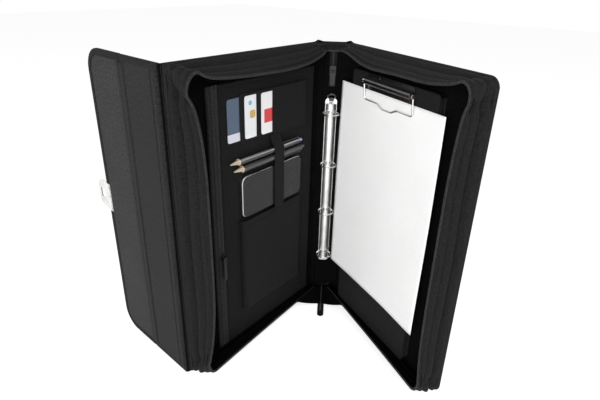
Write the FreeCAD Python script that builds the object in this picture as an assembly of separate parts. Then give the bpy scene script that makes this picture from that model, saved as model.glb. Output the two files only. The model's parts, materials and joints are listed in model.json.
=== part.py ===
import FreeCAD, Part
import math
import os

# Zip-around document folder, standing open on its lower edges like a book.
# Millimetres, +Z up. The origin is the middle of the back cover's standing edge,
# +Y leaves the back cover's outer face, and the spine is at the +X end.
#
# Each cover, the spine, the wrap strip and the flap is modelled in its own flat frame:
# x runs along the sheet from its fold axis, y is the depth from the outer face inwards,
# and z is the height. The to_... functions then set it where it stands.

V = FreeCAD.Vector
UP = V(0, 0, 1)

# Overall sizes
HEIGHT = 415.0
COVER_WIDTH = 270.0
SPINE_SPAN = 44.0          # between the spine's two fold axes
FLAP_WIDTH = 80.0
COVER_CORNER = 13.0
BACK_CORNER = 4.0           # back cover's corners, where the strip is sewn on
FLAP_CORNER = 28.0

# How far the covers stand open, measured from parallel covers, and how the flap stands
BACK_OPENING = 34.6
FRONT_OPENING = 31.0
CLOSED_WEDGE = 3.2         # each cover's slope to the zip plane when the filled folder is shut
FLAP_SWING = 94.8          # between the back cover and the strip

# Sheet layers, from the outer face inwards
SKIN_T = 1.2
BOARD_T = 2.4
LINING_T = 1.0
COVER_T = SKIN_T + BOARD_T + LINING_T
LAYER_PLAY = 0.2           # board and lining inside the turned-in rim
FOLD_R = 1.5               # fabric roll at each fold line
FOLD_PLAY = 0.25
FOLD_SETBACK = 5.0         # inner layers stop this far from a fold axis

# Flap and strip layers, measured from the fold axis
FLAP_BOARD_T = 1.6
FLAP_LINING_T = 0.8
FLAP_OUTER = FOLD_R
FLAP_INNER = FLAP_BOARD_T + FLAP_LINING_T - (FOLD_R - SKIN_T)
FLAP_CLEAR = 1.2           # shut flap to the front cover's face
STRIP_STANDOFF = FLAP_INNER + 0.6
BINDING_W = 6.0

# Zip gussets
GUSSET_T = 1.3
GUSSET_INSET = 1.5
GUSSET_START = 14.0
GUSSET_ROUND = 24.0
FRONT_SEWN_ROUND = 15.0     # gusset's sewn edge in the covers' corners
BACK_SEWN_ROUND = 8.0
ZIP_EDGE_T = 2.0
ZIP_EDGE_OUT = 0.6
ZIP_EDGE_IN = 0.9
ZIP_PLANE_PLAY = 0.2
HEAD_DROP = 25.0           # how far the head gusset hangs down at its middle
HEAD_DROP_ENDS = 11.0
FOOT_RISE = 12.5
FOOT_RISE_ENDS = 11.0
CORNER_LEAN = 4.5
BACK_FORE_LEAN = 21.0      # the fore-edge wall leans in at mid height
FRONT_FORE_LEAN = 12.0

# Ring binder in the spine, on the 80 mm standard, with as many rings as fit under the zip's tail
RING_PITCH = 80.0
RING_FOOT_Z = 75.5
RING_R = 12.2
RING_WIRE = 2.6
RING_FRONT = 33.0          # ring front from the spine's outer face
RING_TIP_PLAY = 0.15
RING_STEPS = 14             # straight steps of a half ring
WIRE_SIDES = 8             # round wires and rivet heads have this many sides
RING_PLATE_W = 17.0
RING_PLATE_T = 0.8
RING_PLATE_CORNER = 5.6
RING_PLATE_END = 20.0      # plate beyond the first and last ring
RING_COVER_W = 16.0
RING_COVER_RISE = 7.0
RING_COVER_T = 0.9
LEAF_T = 1.0
LEAF_LIFT = 1.2            # leaf above the base plate
LEAF_EDGE = 6.2            # leaf's pivot edge from the centre line
LEAF_PLAY = 0.25
RING_NOTCH = 4.4
LEVER_EYE_R = 6.5
LEVER_EYE_HOLE_R = 4.9
LEVER_ARM = 13.0
LEVER_W = 7.0
LEVER_T = 1.4
LEVER_TILT = 45.0
LEVER_BARREL_R = 1.7
LEVER_PIN_R = 0.8
LEVER_FOOT = 5.0
LEVER_FOOT_W = 3.0
LEVER_HEAD_GAP = 2.0       # least gap from the lever to the zip's tail
PIN_PLAY = 0.05
EAR_T = 1.0
EAR_SPAN = 4.0
RIVET_R = 2.2
RIVET_H = 1.1
RING_RIVET_IN = 4.0        # rivet from the plate's foot
RING_COVER_IN = 8.0        # arched cover from the plate's foot
LEAF_IN = 10.0             # leaves from the plate's foot

# Main zip's tails and slider at the spine
TAIL_W = 10.5
TAIL_T = 1.6
HEAD_TAIL_LEN = 54.0
HEAD_TAIL_DROP = 9.0       # tail's top under the folder's top
FOOT_TAIL_LEN = 84.0
SLIDER_LEN = 15.0
SLIDER_T = 1.6
SLIDER_PLAY = 0.15
SLIDER_CORNER = 2.0
CHEEK_T = 0.8
CHEEK_LEN = 4.0
PULL_W = 7.0
PULL_LEN = 20.0
PULL_T = 1.2
PULL_PIN_R = 0.6
PULL_EYE_R = 1.4
PULL_PLAY = 0.1
PULL_LIFT = 0.4            # pull's eye to the slider's face

# Organiser panel on the back cover
PANEL_T = 3.0
PANEL_FOOT = 10.0
PANEL_HEAD = 31.0          # under the folder's top
PANEL_START = 18.0
PANEL_ZIP_S = 207.0        # line of the pocket zip
PANEL_END = 220.0
PANEL_POCKET = 1.9
POCKET_WALL = 1.2
ZIP_TAPE_W = 9.0
ZIP_TAPE_T = 0.5
ZIP_CHAIN_W = 3.4
ZIP_CHAIN_T = 1.5
ZIP_STOP = 4.5             # teeth end this far from the tape's ends
POCKET_SLIDER_Z = 152.0
POCKET_SLIDER_LEN = 10.0
POCKET_PULL_W = 5.0
POCKET_PULL_LEN = 34.0

# Bank-card size pockets, one over the other
CARD_LEN = 85.6
CARD_H = 54.0
CARD_T = 0.8
CARD_CORNER = 3.2
CARD_HEAD = 19.5           # card's top under the panel's top
CARD_COUNT = 3
CARD_FIRST_EDGE = 190.5
CARD_STEP = 28.0
CARD_SHOWS = 20.0
CARD_PLAY = 0.2
CARD_POCKET_T = 0.7
CARD_POCKET_START = 44.0
CARD_SEAM = 3.6
CARD_SEAM_SIDE = 1.5

# Pens and a phone under an elastic strap, and the open pocket below
PEN_R = 4.5
PEN_LEN = 140.0
PEN_TIP_LEN = 14.0
PEN_TIP_R = 0.8
PEN_NOSE_R = 3.4            # tip where it leaves the barrel
PEN_BUTTON_R = 2.2
PEN_BUTTON_LEN = 7.0
PEN_CLIP_W = 3.0
PEN_CLIP_LEN = 42.0
PEN_CLIP_T = 1.0
PEN_CLIP_GAP = 0.5
PEN_PLAY = 0.3
PEN_DROP = 25.5            # upper pen under the cards
PEN_SPACING = 11.0
PEN_UPPER_S = 52.0
PEN_LOWER_S = 46.0
STRAP_S = 95.0
STRAP_W = 19.0
STRAP_T = 1.1
STRAP_TAIL = 10.0          # strap sewn on the pocket's front
STRAP_HEAD = 2.4           # strap sewn on the panel
PHONE_POCKET_START = 52.0
PHONE_POCKET_END = 175.0
PHONE_POCKET_FOOT = 54.0
PHONE_DEPTH = 8.3
PHONE_WALL = 1.0
PHONE_LEN = 121.0
PHONE_H = 58.5
PHONE_T = 7.6
PHONE_CORNER = 9.0
PHONE_EDGE = 0.9
PHONE_PLAY = 0.2
PHONE_START = 54.0
PHONE_HEAD_GAP = 5.0       # phone to the lower pen's clip
PHONE_LIFT = 4.5           # phone over the pocket's rim

# Clipboard on the front cover, with an A4 sheet that hangs from the clip
CLIPBOARD_START = 37.0
CLIPBOARD_END = 208.0
CLIPBOARD_HEAD = 29.0
CLIPBOARD_POCKET = 9.4
CLIPBOARD_CORNER = 5.0
SHEET_W = 210.0
SHEET_T = 0.6
SHEET_START = 12.0
SHEET_FOOT = 68.0
SHEET_PLAY = 0.2
SHEET_HEAD_GAP = 1.0       # sheet to the clip's plate
CLIP_START = 74.0
CLIP_LEN = 94.0
CLIP_PLATE_H = 20.0
CLIP_PLATE_T = 1.0
CLIP_BARREL_R = 4.0
CLIP_BARREL_BORE = 2.7
CLIP_ROD_R = 1.2
CLIP_ROD_OUT = 3.6
CLIP_SPRING_R = 2.5
CLIP_SPRING_BORE = 1.35
CLIP_EYE_R = 2.7
CLIP_EYE_LEN = 2.4
CLIP_RIVET_IN = 3.0
BAIL_R = 1.2
BAIL_DROP = 24.0
BAIL_BEND = 4.0
BAIL_DIP = 5.0
BAIL_DIP_HALF = 9.0
BAIL_DIP_SIDE = 20.0

# Lock: tongue on the flap, catch on the front cover
LOCK_RISE = 7.0             # lock over the middle of the height
TONGUE_W = 41.0
TONGUE_OUT = 28.0
TONGUE_IN = 14.0
TONGUE_CORNER = 12.0
TONGUE_SLOT_W = 14.0
TONGUE_SLOT_LEN = 10.0
TONGUE_SLOT_EDGE = 6.0
TONGUE_PLATE_T = 0.5
TONGUE_PLATE_IN = 9.0
TONGUE_RIVETS = 3
TONGUE_RIVET_R = 1.5
TONGUE_RIVET_HEAD = 0.3
CATCH_W = 36.0
CATCH_LEN = 32.0
CATCH_T = 1.0
CATCH_CORNER = 4.0
POST_W = 9.0
POST_LEN = 7.0
POST_H = 6.2
BOLT_W = 5.0
BOLT_T = 1.3
BOLT_NOSE = 2.5
BOLT_TAIL = 9.0
BOLT_PLAY = 0.2
BOLT_KNOB_H = 2.4
BOLT_KNOB_LEN = 6.0
BOLT_KNOB_CORNER = 1.0

OVERCUT = 1.0              # cutting shapes reach this far past what they cut


# Where things stand
def polar(angle):
    """Unit vector in plan at an angle in degrees."""
    return V(math.cos(math.radians(angle)), math.sin(math.radians(angle)), 0)


SPINE_ANGLE = BACK_OPENING - 90.0
FRONT_ANGLE = SPINE_ANGLE - 90.0 + FRONT_OPENING
STRIP_ANGLE = 180.0 - FLAP_SWING
SPINE_AXIS = V(COVER_WIDTH / 2, COVER_T / 2 - FOLD_R, 0)
FRONT_AXIS = SPINE_AXIS + polar(SPINE_ANGLE) * SPINE_SPAN
STRIP_AXIS_S = COVER_WIDTH + STRIP_STANDOFF
STRIP_AXIS = V(COVER_WIDTH / 2 - STRIP_AXIS_S, COVER_T / 2 - FOLD_R, 0)


def shut_flap_axis():
    """Flap's fold axis with the folder shut, along the back cover and inwards from the strip's axis."""
    wedge = math.radians(CLOSED_WEDGE)
    front_s = -SPINE_SPAN * math.sin(wedge)
    front_n = SPINE_SPAN * math.cos(wedge)
    outwards = FOLD_R + FLAP_CLEAR + FLAP_INNER
    along = front_s + STRIP_AXIS_S * math.cos(2 * wedge) - outwards * math.sin(2 * wedge)
    inwards = front_n + STRIP_AXIS_S * math.sin(2 * wedge) + outwards * math.cos(2 * wedge)
    return along - STRIP_AXIS_S, inwards


SHUT_ALONG, SHUT_INWARDS = shut_flap_axis()
STRIP_WIDTH = math.hypot(SHUT_ALONG, SHUT_INWARDS)
FLAP_AXIS = STRIP_AXIS + polar(STRIP_ANGLE) * STRIP_WIDTH


def set_down(shape, angle, place):
    """Turns a shape about Z and moves it."""
    placed = shape.copy()
    placed.rotate(V(0, 0, 0), UP, angle)
    placed.translate(place)
    return placed


def handed(shape):
    """Turns depth over for the sheets whose inside is on the other hand, measured from the fold axis."""
    turned = shape.mirror(V(0, 0, 0), V(0, 1, 0))
    turned.translate(V(0, FOLD_R, 0))
    return turned


def to_back(shape):
    return set_down(shape, 180.0, V(COVER_WIDTH / 2, COVER_T / 2, 0))


def to_spine(shape):
    return set_down(handed(shape), SPINE_ANGLE, SPINE_AXIS)


def to_front(shape):
    return set_down(handed(shape), FRONT_ANGLE, FRONT_AXIS)


def to_strip(shape):
    return set_down(shape, STRIP_ANGLE, STRIP_AXIS)


def to_flap(shape):
    return set_down(shape, STRIP_ANGLE, FLAP_AXIS)


# Shared shapes
def block(s0, s1, n0, n1, z0, z1):
    """Box between two corners of a sheet's frame."""
    return Part.makeBox(s1 - s0, n1 - n0, z1 - z0, V(s0, n0, z0))


def line(a, b):
    return Part.LineSegment(a, b).toShape()


def arc(a, middle, b):
    return Part.Arc(a, middle, b).toShape()


def corner_arc(a, corner, b):
    """Round corner from a to b, tangent to the two sides that meet at the corner."""
    return arc(a, corner + ((a + b) * 0.5 - corner) * (2 - math.sqrt(2)), b)


def outline(s0, s1, z0, z1, near_r, far_r, depth=0.0):
    """Wire of a sheet whose corners at s0 and at s1 are rounded; a radius of 0 leaves them square."""
    edges = []
    corners = [(s0, z0, near_r, 0, 1), (s1, z0, far_r, -1, 0), (s1, z1, far_r, 0, -1), (s0, z1, near_r, 1, 0)]
    turns = [(1, 0), (0, 1), (-1, 0), (0, -1)]
    starts = []
    ends = []
    for (s, z, r, back_s, back_z), (on_s, on_z) in zip(corners, turns):
        starts.append(V(s + back_s * r, depth, z + back_z * r))
        ends.append(V(s + on_s * r, depth, z + on_z * r))
    for i, (s, z, r, _, _) in enumerate(corners):
        if r > 0:
            edges.append(corner_arc(starts[i], V(s, depth, z), ends[i]))
        edges.append(line(ends[i], starts[(i + 1) % len(corners)]))
    return Part.Wire(edges)


def slab(wire, thickness):
    """Solid of a flat outline, thickened inwards."""
    return Part.Face(wire).extrude(V(0, thickness, 0))


def sheet(s0, s1, z0, z1, n0, n1, near_r=0.0, far_r=0.0):
    return slab(outline(s0, s1, z0, z1, near_r, far_r, n0), n1 - n0)


def upright(s, n, radius, z0, z1):
    """Round bar standing on its end."""
    return Part.makeCylinder(radius, z1 - z0, V(s, n, z0), UP)


def along_sheet(s0, s1, n, z, radius):
    """Round bar lying along the sheet."""
    return Part.makeCylinder(radius, s1 - s0, V(s0, n, z), V(1, 0, 0))


def wire_section(centre, along, across, radius):
    """Many-sided section of a round wire that runs along a direction."""
    aside = along.cross(across)
    turns = [2 * math.pi * (i + 0.5) / WIRE_SIDES for i in range(WIRE_SIDES)]
    points = [centre + across * (radius * math.cos(a)) + aside * (radius * math.sin(a)) for a in turns]
    return Part.makePolygon(points + points[:1])


def rivet_head(s, n, z, radius, height, outwards):
    """Low rivet head on a face at depth n; outwards is +1 for a head that stands inwards of it."""
    foot = wire_section(V(s, n, z), V(0, 1, 0), V(1, 0, 0), radius)
    return Part.Face(foot).extrude(V(0, outwards * height, 0))


def bent_rod(points, bend, radius):
    """Round wire along straight runs joined by tangent arcs."""
    edges = []
    start = points[0]
    for before, corner, after in zip(points, points[1:], points[2:]):
        into = (corner - before).normalize()
        out = (after - corner).normalize()
        turn = into.getAngle(out)
        reach = bend * math.tan(turn / 2)
        first = corner - into * reach
        last = corner + out * reach
        inward = (out - into).normalize()
        middle = corner + inward * (bend / math.cos(turn / 2) - bend)
        edges.append(line(start, first))
        edges.append(arc(first, middle, last))
        start = last
    edges.append(line(start, points[-1]))
    path = Part.Wire(edges)
    along = (points[1] - points[0]).normalize()
    across = along.cross((points[2] - points[1]).normalize())
    return path.makePipeShell([wire_section(points[0], along, across, radius)], True, False)


# Covers
def cover_skin(corner):
    """Outer skin: a tray whose rim is turned in round the board, flat at the fold."""
    start = FOLD_R + FOLD_PLAY
    tray = sheet(start, COVER_WIDTH, 0, HEIGHT, 0, COVER_T, 0, corner)
    inside = sheet(-start, COVER_WIDTH - SKIN_T, SKIN_T, HEIGHT - SKIN_T, SKIN_T, 2 * COVER_T,
                   0, corner - SKIN_T)
    fold = block(0, FOLD_SETBACK, SKIN_T, 2 * COVER_T, -OVERCUT, HEIGHT + OVERCUT)
    return tray.cut(inside).cut(fold)


def cover_layer(n0, n1, corner):
    """Board or lining lying in the tray."""
    inset = SKIN_T + LAYER_PLAY
    return sheet(FOLD_SETBACK, COVER_WIDTH - inset, inset, HEIGHT - inset, n0, n1, 0, corner - inset)


def strip_hinge():
    """Fabric roll on the back cover's fore edge, which the wrap strip turns on."""
    roll = upright(STRIP_AXIS_S, FOLD_R, FOLD_R, 0, HEIGHT)
    lip = block(COVER_WIDTH - SKIN_T, STRIP_AXIS_S, FOLD_R, FOLD_R + SKIN_T, BACK_CORNER,
                HEIGHT - BACK_CORNER)
    return roll.fuse(lip)


def zip_plane(s):
    """Depth of the plane in which the two zip edges meet, at a distance along a cover."""
    wedge = math.radians(CLOSED_WEDGE)
    centre_s = -SPINE_SPAN / 2 * math.sin(wedge)
    centre_n = FOLD_R + SPINE_SPAN / 2 * math.cos(wedge)
    return centre_n + (s - centre_s) * math.tan(wedge)


def zip_edge_wire(fore_lean, inset, below):
    """Gusset's free edge: sides that sag between the corners, in a plane parallel to the zip plane."""
    def at(s, z):
        return V(s, zip_plane(s) - below, z)

    corner_s = COVER_WIDTH - GUSSET_ROUND
    fore_s = COVER_WIDTH - CORNER_LEAN - inset
    head = HEIGHT - inset
    head_start = at(0, head - HEAD_DROP_ENDS)
    head_end = at(corner_s, head - HEAD_DROP_ENDS)
    fore_top = at(fore_s, head - HEAD_DROP_ENDS - GUSSET_ROUND)
    fore_foot = at(fore_s, inset + FOOT_RISE_ENDS + GUSSET_ROUND)
    foot_end = at(corner_s, inset + FOOT_RISE_ENDS)
    foot_start = at(0, inset + FOOT_RISE_ENDS)
    return Part.Wire([
        arc(head_start, at(corner_s / 2, head - HEAD_DROP), head_end),
        corner_arc(head_end, at(fore_s, head - HEAD_DROP_ENDS), fore_top),
        arc(fore_top, at(COVER_WIDTH - fore_lean - inset, HEIGHT / 2), fore_foot),
        corner_arc(fore_foot, at(fore_s, inset + FOOT_RISE_ENDS), foot_end),
        arc(foot_end, at(corner_s / 2, inset + FOOT_RISE), foot_start),
        line(foot_start, head_start)])


def gusset_foot_wire(sewn_round, inset, depth):
    """Gusset's sewn edge on the cover, with the same sides as its free edge."""
    edge = GUSSET_INSET + inset
    s1 = COVER_WIDTH - edge
    corner_s = COVER_WIDTH - sewn_round
    low = sewn_round + GUSSET_INSET
    high = HEIGHT - low
    head = [V(0, depth, HEIGHT - edge), V(corner_s, depth, HEIGHT - edge)]
    fore = [V(s1, depth, high), V(s1, depth, low)]
    foot = [V(corner_s, depth, edge), V(0, depth, edge)]
    return Part.Wire([
        line(*head), corner_arc(head[1], V(s1, depth, HEIGHT - edge), fore[0]),
        line(*fore), corner_arc(fore[1], V(s1, depth, edge), foot[0]),
        line(*foot), line(foot[1], head[0])])


def gusset(fore_lean, sewn_round):
    """Soft side wall round the head, fore edge and foot of a cover, leaning in between its corners."""
    below = ZIP_PLANE_PLAY + ZIP_EDGE_T
    sewn = gusset_foot_wire(sewn_round, 0, COVER_T)
    inner_sewn = gusset_foot_wire(sewn_round, GUSSET_T, COVER_T - OVERCUT)
    inner_free = zip_edge_wire(fore_lean, GUSSET_T, below - OVERCUT)
    outer = Part.makeLoft([sewn, zip_edge_wire(fore_lean, 0, below)], True, True)
    inner = Part.makeLoft([inner_sewn, inner_free], True, True)
    return outer.cut(inner).cut(spine_end())


def spine_end():
    """Space beside the spine in which the gussets stop."""
    return block(-HEIGHT, GUSSET_START, -HEIGHT, HEIGHT, -HEIGHT, 2 * HEIGHT)


def zip_edge(fore_lean):
    """Zip half along the gusset's free edge."""
    below = ZIP_PLANE_PLAY + ZIP_EDGE_T
    wedge = math.radians(CLOSED_WEDGE)
    towards = V(-math.sin(wedge), math.cos(wedge), 0) * (ZIP_EDGE_T * math.cos(wedge))
    outer = Part.Face(zip_edge_wire(fore_lean, -ZIP_EDGE_OUT, below)).extrude(towards)
    inner = Part.Face(zip_edge_wire(fore_lean, GUSSET_T + ZIP_EDGE_IN, below)).extrude(towards)
    return outer.cut(inner).cut(spine_end())


# Spine
def spine_skin():
    """Outer skin of the spine with the two fold rolls and turned-in ends."""
    plate = block(0, SPINE_SPAN, 0, SKIN_T, 0, HEIGHT)
    near_roll = upright(0, FOLD_R, FOLD_R, 0, HEIGHT)
    far_roll = upright(SPINE_SPAN, FOLD_R, FOLD_R, 0, HEIGHT)
    foot = block(FOLD_SETBACK, SPINE_SPAN - FOLD_SETBACK, 0, COVER_T, 0, SKIN_T)
    head = block(FOLD_SETBACK, SPINE_SPAN - FOLD_SETBACK, 0, COVER_T, HEIGHT - SKIN_T, HEIGHT)
    return plate.fuse([near_roll, far_roll, foot, head]).removeSplitter()


def spine_layer(n0, n1):
    inset = SKIN_T + LAYER_PLAY
    return block(FOLD_SETBACK, SPINE_SPAN - FOLD_SETBACK, n0, n1, inset, HEIGHT - inset)


SPINE_MID = SPINE_SPAN / 2
TAIL_HEAD_Z = HEIGHT - HEAD_TAIL_DROP
TAIL_END_Z = TAIL_HEAD_Z - HEAD_TAIL_LEN
TAIL_FACE = COVER_T + TAIL_T
SLIDER_Z = TAIL_END_Z + SLIDER_LEN
LEVER_REACH = (LEVER_ARM + LEVER_EYE_R) * math.cos(math.radians(LEVER_TILT))
RING_HEAD_ROOM = RING_PLATE_END - EAR_SPAN + LEVER_REACH + LEVER_HEAD_GAP
RING_COUNT = 1 + math.floor((TAIL_END_Z - RING_HEAD_ROOM - RING_FOOT_Z) / RING_PITCH)
RING_LAST_Z = RING_FOOT_Z + RING_PITCH * (RING_COUNT - 1)
RING_PLATE_FOOT = RING_FOOT_Z - RING_PLATE_END
RING_PLATE_HEAD = RING_LAST_Z + RING_PLATE_END
RING_PLATE_FACE = COVER_T + RING_PLATE_T
RING_CENTRE_N = RING_FRONT - RING_R - RING_WIRE / 2
LEAF_BACK = RING_PLATE_FACE + LEAF_LIFT
LEAF_FACE = LEAF_BACK + LEAF_T
LEVER_N = LEAF_FACE + LEVER_T
LEVER_Z = RING_PLATE_HEAD - EAR_SPAN


def ring_heights():
    return [RING_FOOT_Z + RING_PITCH * i for i in range(RING_COUNT)]


def ring_base():
    """Steel strip riveted to the spine, with two ears for the trigger lever's pin."""
    half = RING_PLATE_W / 2
    plate = sheet(SPINE_MID - half, SPINE_MID + half, RING_PLATE_FOOT, RING_PLATE_HEAD, COVER_T,
                  RING_PLATE_FACE, RING_PLATE_CORNER, RING_PLATE_CORNER)
    rivet = rivet_head(SPINE_MID, RING_PLATE_FACE, RING_PLATE_FOOT + RING_RIVET_IN, RIVET_R, RIVET_H, 1)
    pin_hole = along_sheet(0, SPINE_SPAN, LEVER_N, LEVER_Z, LEVER_PIN_R)
    ears = []
    for side in (-1, 1):
        middle = SPINE_MID + side * (LEVER_W / 2 + PIN_PLAY + EAR_T / 2)
        ears.append(block(middle - EAR_T / 2, middle + EAR_T / 2, COVER_T, LEVER_N + EAR_SPAN / 2,
                          LEVER_Z - EAR_SPAN / 2, LEVER_Z + EAR_SPAN / 2))
    return plate.fuse([rivet] + ears).cut(pin_hole)


def ring_cover():
    """Arched cover over the leaves, notched where the rings come out."""
    half = RING_COVER_W / 2
    inner_half = half - RING_COVER_T
    crown = RING_PLATE_FACE + RING_COVER_RISE
    foot = RING_PLATE_FOOT + RING_COVER_IN
    head = LEVER_Z - EAR_SPAN
    ends = [V(SPINE_MID - half, RING_PLATE_FACE, foot), V(SPINE_MID + half, RING_PLATE_FACE, foot)]
    inner_ends = [V(SPINE_MID + inner_half, RING_PLATE_FACE, foot),
                  V(SPINE_MID - inner_half, RING_PLATE_FACE, foot)]
    section = Part.Wire([
        arc(ends[0], V(SPINE_MID, crown, foot), ends[1]),
        line(ends[1], inner_ends[0]),
        arc(inner_ends[0], V(SPINE_MID, crown - RING_COVER_T, foot), inner_ends[1]),
        line(inner_ends[1], ends[0])])
    cover = Part.Face(section).extrude(V(0, 0, head - foot))
    notches = []
    for z in ring_heights():
        for side in (-1, 1):
            inside = SPINE_MID + side * RING_WIRE / 2
            outside = SPINE_MID + side * RING_COVER_W
            notches.append(block(min(inside, outside), max(inside, outside), LEAF_BACK, crown + OVERCUT,
                                 z - RING_NOTCH / 2, z + RING_NOTCH / 2))
    return cover.cut(notches)


def ring_leaf(side):
    """Spring-steel leaf that carries one side's half rings."""
    inside = SPINE_MID + side * LEAF_PLAY
    outside = SPINE_MID + side * LEAF_EDGE
    foot = RING_PLATE_FOOT + LEAF_IN
    return block(min(inside, outside), max(inside, outside), LEAF_BACK, LEAF_FACE, foot, LEVER_Z - EAR_SPAN)


def half_rings(side):
    """Round wire half rings seated on a leaf, meeting the other side's at the front."""
    tip = math.degrees(math.asin(RING_TIP_PLAY / RING_R))
    step = (180.0 - tip) / RING_STEPS
    turns = [step * i - 90.0 for i in range(RING_STEPS + 1)]
    wires = []
    for z in ring_heights():
        centre = V(SPINE_MID, RING_CENTRE_N, z)
        sections = [wire_section(centre + polar(a) * RING_R, polar(a + 90.0), polar(a), RING_WIRE / 2)
                    for a in turns]
        half = Part.makeLoft(sections, True, True)
        leaf_side = block(0, SPINE_SPAN, -HEIGHT, LEAF_FACE, z - RING_WIRE, z + RING_WIRE)
        half = half.cut(leaf_side)
        if side < 0:
            half = half.mirror(centre, V(1, 0, 0))
        wires.append(half)
    return Part.makeCompound([solid for wire in wires for solid in wire.Solids])


def ring_lever():
    """Trigger with a ring-shaped finger end; its foot lifts the leaves."""
    pivot = V(SPINE_MID, LEVER_N, LEVER_Z)
    half = LEVER_W / 2
    arm = block(SPINE_MID - half, SPINE_MID + half, LEVER_N - LEVER_T / 2, LEVER_N + LEVER_T / 2,
                LEVER_Z, LEVER_Z + LEVER_ARM)
    eye_centre = pivot + V(0, -LEVER_T / 2, LEVER_ARM)
    eye = Part.makeCylinder(LEVER_EYE_R, LEVER_T, eye_centre, V(0, 1, 0))
    hole = Part.makeCylinder(LEVER_EYE_HOLE_R, LEVER_T, eye_centre, V(0, 1, 0))
    tab = arm.fuse(eye).cut(hole)
    tab.rotate(pivot, V(1, 0, 0), -LEVER_TILT)
    barrel = along_sheet(SPINE_MID - half, SPINE_MID + half, LEVER_N, LEVER_Z, LEVER_BARREL_R)
    foot_w = LEVER_FOOT_W / 2
    foot_face = LEAF_BACK - PIN_PLAY
    foot = block(SPINE_MID - foot_w, SPINE_MID + foot_w, foot_face - LEVER_T / 2, foot_face,
                 LEVER_Z - LEVER_FOOT, LEVER_Z)
    web = block(SPINE_MID - foot_w, SPINE_MID + foot_w, foot_face - LEVER_T / 2, LEVER_N,
                LEVER_Z - LEVER_T / 2, LEVER_Z)
    bore = along_sheet(0, SPINE_SPAN, LEVER_N, LEVER_Z, LEVER_PIN_R + PIN_PLAY)
    return tab.fuse([barrel, foot, web]).cut(bore)


def lever_pin():
    reach = LEVER_W / 2 + PIN_PLAY + EAR_T
    return along_sheet(SPINE_MID - reach, SPINE_MID + reach, LEVER_N, LEVER_Z, LEVER_PIN_R)


def head_tail():
    """Closed end of the main zip, hanging inside the spine's head."""
    return sheet(SPINE_MID - TAIL_W / 2, SPINE_MID + TAIL_W / 2, TAIL_END_Z, TAIL_HEAD_Z, COVER_T, TAIL_FACE)


def foot_tail():
    """Other end of the main zip, lying forwards on the ground from the spine's foot."""
    half = TAIL_W / 2
    end = COVER_T + FOOT_TAIL_LEN
    root = [V(SPINE_MID + half, COVER_T, 0), V(SPINE_MID - half, COVER_T, 0)]
    tip = [V(SPINE_MID - half, end - half, 0), V(SPINE_MID + half, end - half, 0)]
    wire = Part.Wire([line(*root), line(root[1], tip[0]), arc(tip[0], V(SPINE_MID, end, 0), tip[1]),
                      line(tip[1], root[0])])
    return Part.Face(wire).extrude(V(0, 0, TAIL_T))


def zip_slider(middle, face, foot, length, pull_w):
    """Zip slider: a flat body on the teeth, with two cheeks and the pin that its pull hangs on."""
    half = pull_w / 2 + PULL_PLAY + CHEEK_T
    body = sheet(middle - half, middle + half, foot, foot + length, face, face + SLIDER_T, SLIDER_CORNER,
                 SLIDER_CORNER)
    pin_n, pin_z = pull_pin(face, foot, length)
    pin = along_sheet(middle - half, middle + half, pin_n, pin_z, PULL_PIN_R)
    cheeks = []
    for start in (middle - half, middle + half - CHEEK_T):
        cheeks.append(block(start, start + CHEEK_T, face, pin_n + PULL_EYE_R, pin_z - CHEEK_LEN / 2,
                            pin_z + CHEEK_LEN / 2))
    return body.fuse(cheeks + [pin]).removeSplitter()


def pull_pin(face, foot, length):
    """Depth and height of the pin of a slider."""
    return face + SLIDER_T + PULL_LIFT + PULL_EYE_R, foot + length / 2


def zip_pull(middle, face, foot, length, pull_w, pull_len):
    """Pull tab with a rolled eye round the slider's pin."""
    pin_n, pin_z = pull_pin(face, foot, length)
    half = pull_w / 2
    tab = sheet(middle - half, middle + half, pin_z - pull_len, pin_z, pin_n - PULL_T / 2, pin_n + PULL_T / 2,
                SLIDER_CORNER, SLIDER_CORNER)
    eye = along_sheet(middle - half, middle + half, pin_n, pin_z, PULL_EYE_R)
    bore = along_sheet(middle - pull_w, middle + pull_w, pin_n, pin_z, PULL_PIN_R + PULL_PLAY)
    return tab.fuse(eye).cut(bore)


MAIN_ZIP = (SPINE_MID, TAIL_FACE + SLIDER_PLAY, SLIDER_Z, SLIDER_LEN, PULL_W)


# Organiser panel
PANEL_BACK = COVER_T + PANEL_POCKET
PANEL_FACE = PANEL_BACK + PANEL_T
PANEL_TOP = HEIGHT - PANEL_HEAD
PANEL_ZIP_EDGE = PANEL_ZIP_S - ZIP_TAPE_W / 2


def organiser_panel():
    return sheet(PANEL_START, PANEL_ZIP_EDGE, PANEL_FOOT, PANEL_TOP, PANEL_BACK, PANEL_FACE)


def organiser_wall():
    """Wall of the shallow pocket behind the panel, open at the zip."""
    outer = block(PANEL_START, PANEL_ZIP_EDGE, COVER_T, PANEL_BACK, PANEL_FOOT, PANEL_TOP)
    inner = block(PANEL_START + POCKET_WALL, PANEL_ZIP_EDGE + OVERCUT, COVER_T - OVERCUT,
                  PANEL_BACK + OVERCUT, PANEL_FOOT + POCKET_WALL, PANEL_TOP - POCKET_WALL)
    return outer.cut(inner)


def organiser_margin():
    """Strip sewn down beyond the pocket zip."""
    return block(PANEL_ZIP_S + ZIP_TAPE_W / 2, PANEL_END, COVER_T, PANEL_FACE, PANEL_FOOT, PANEL_TOP)


CHAIN_FACE = PANEL_FACE
ZIP_FACE = CHAIN_FACE - ZIP_CHAIN_T


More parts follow.
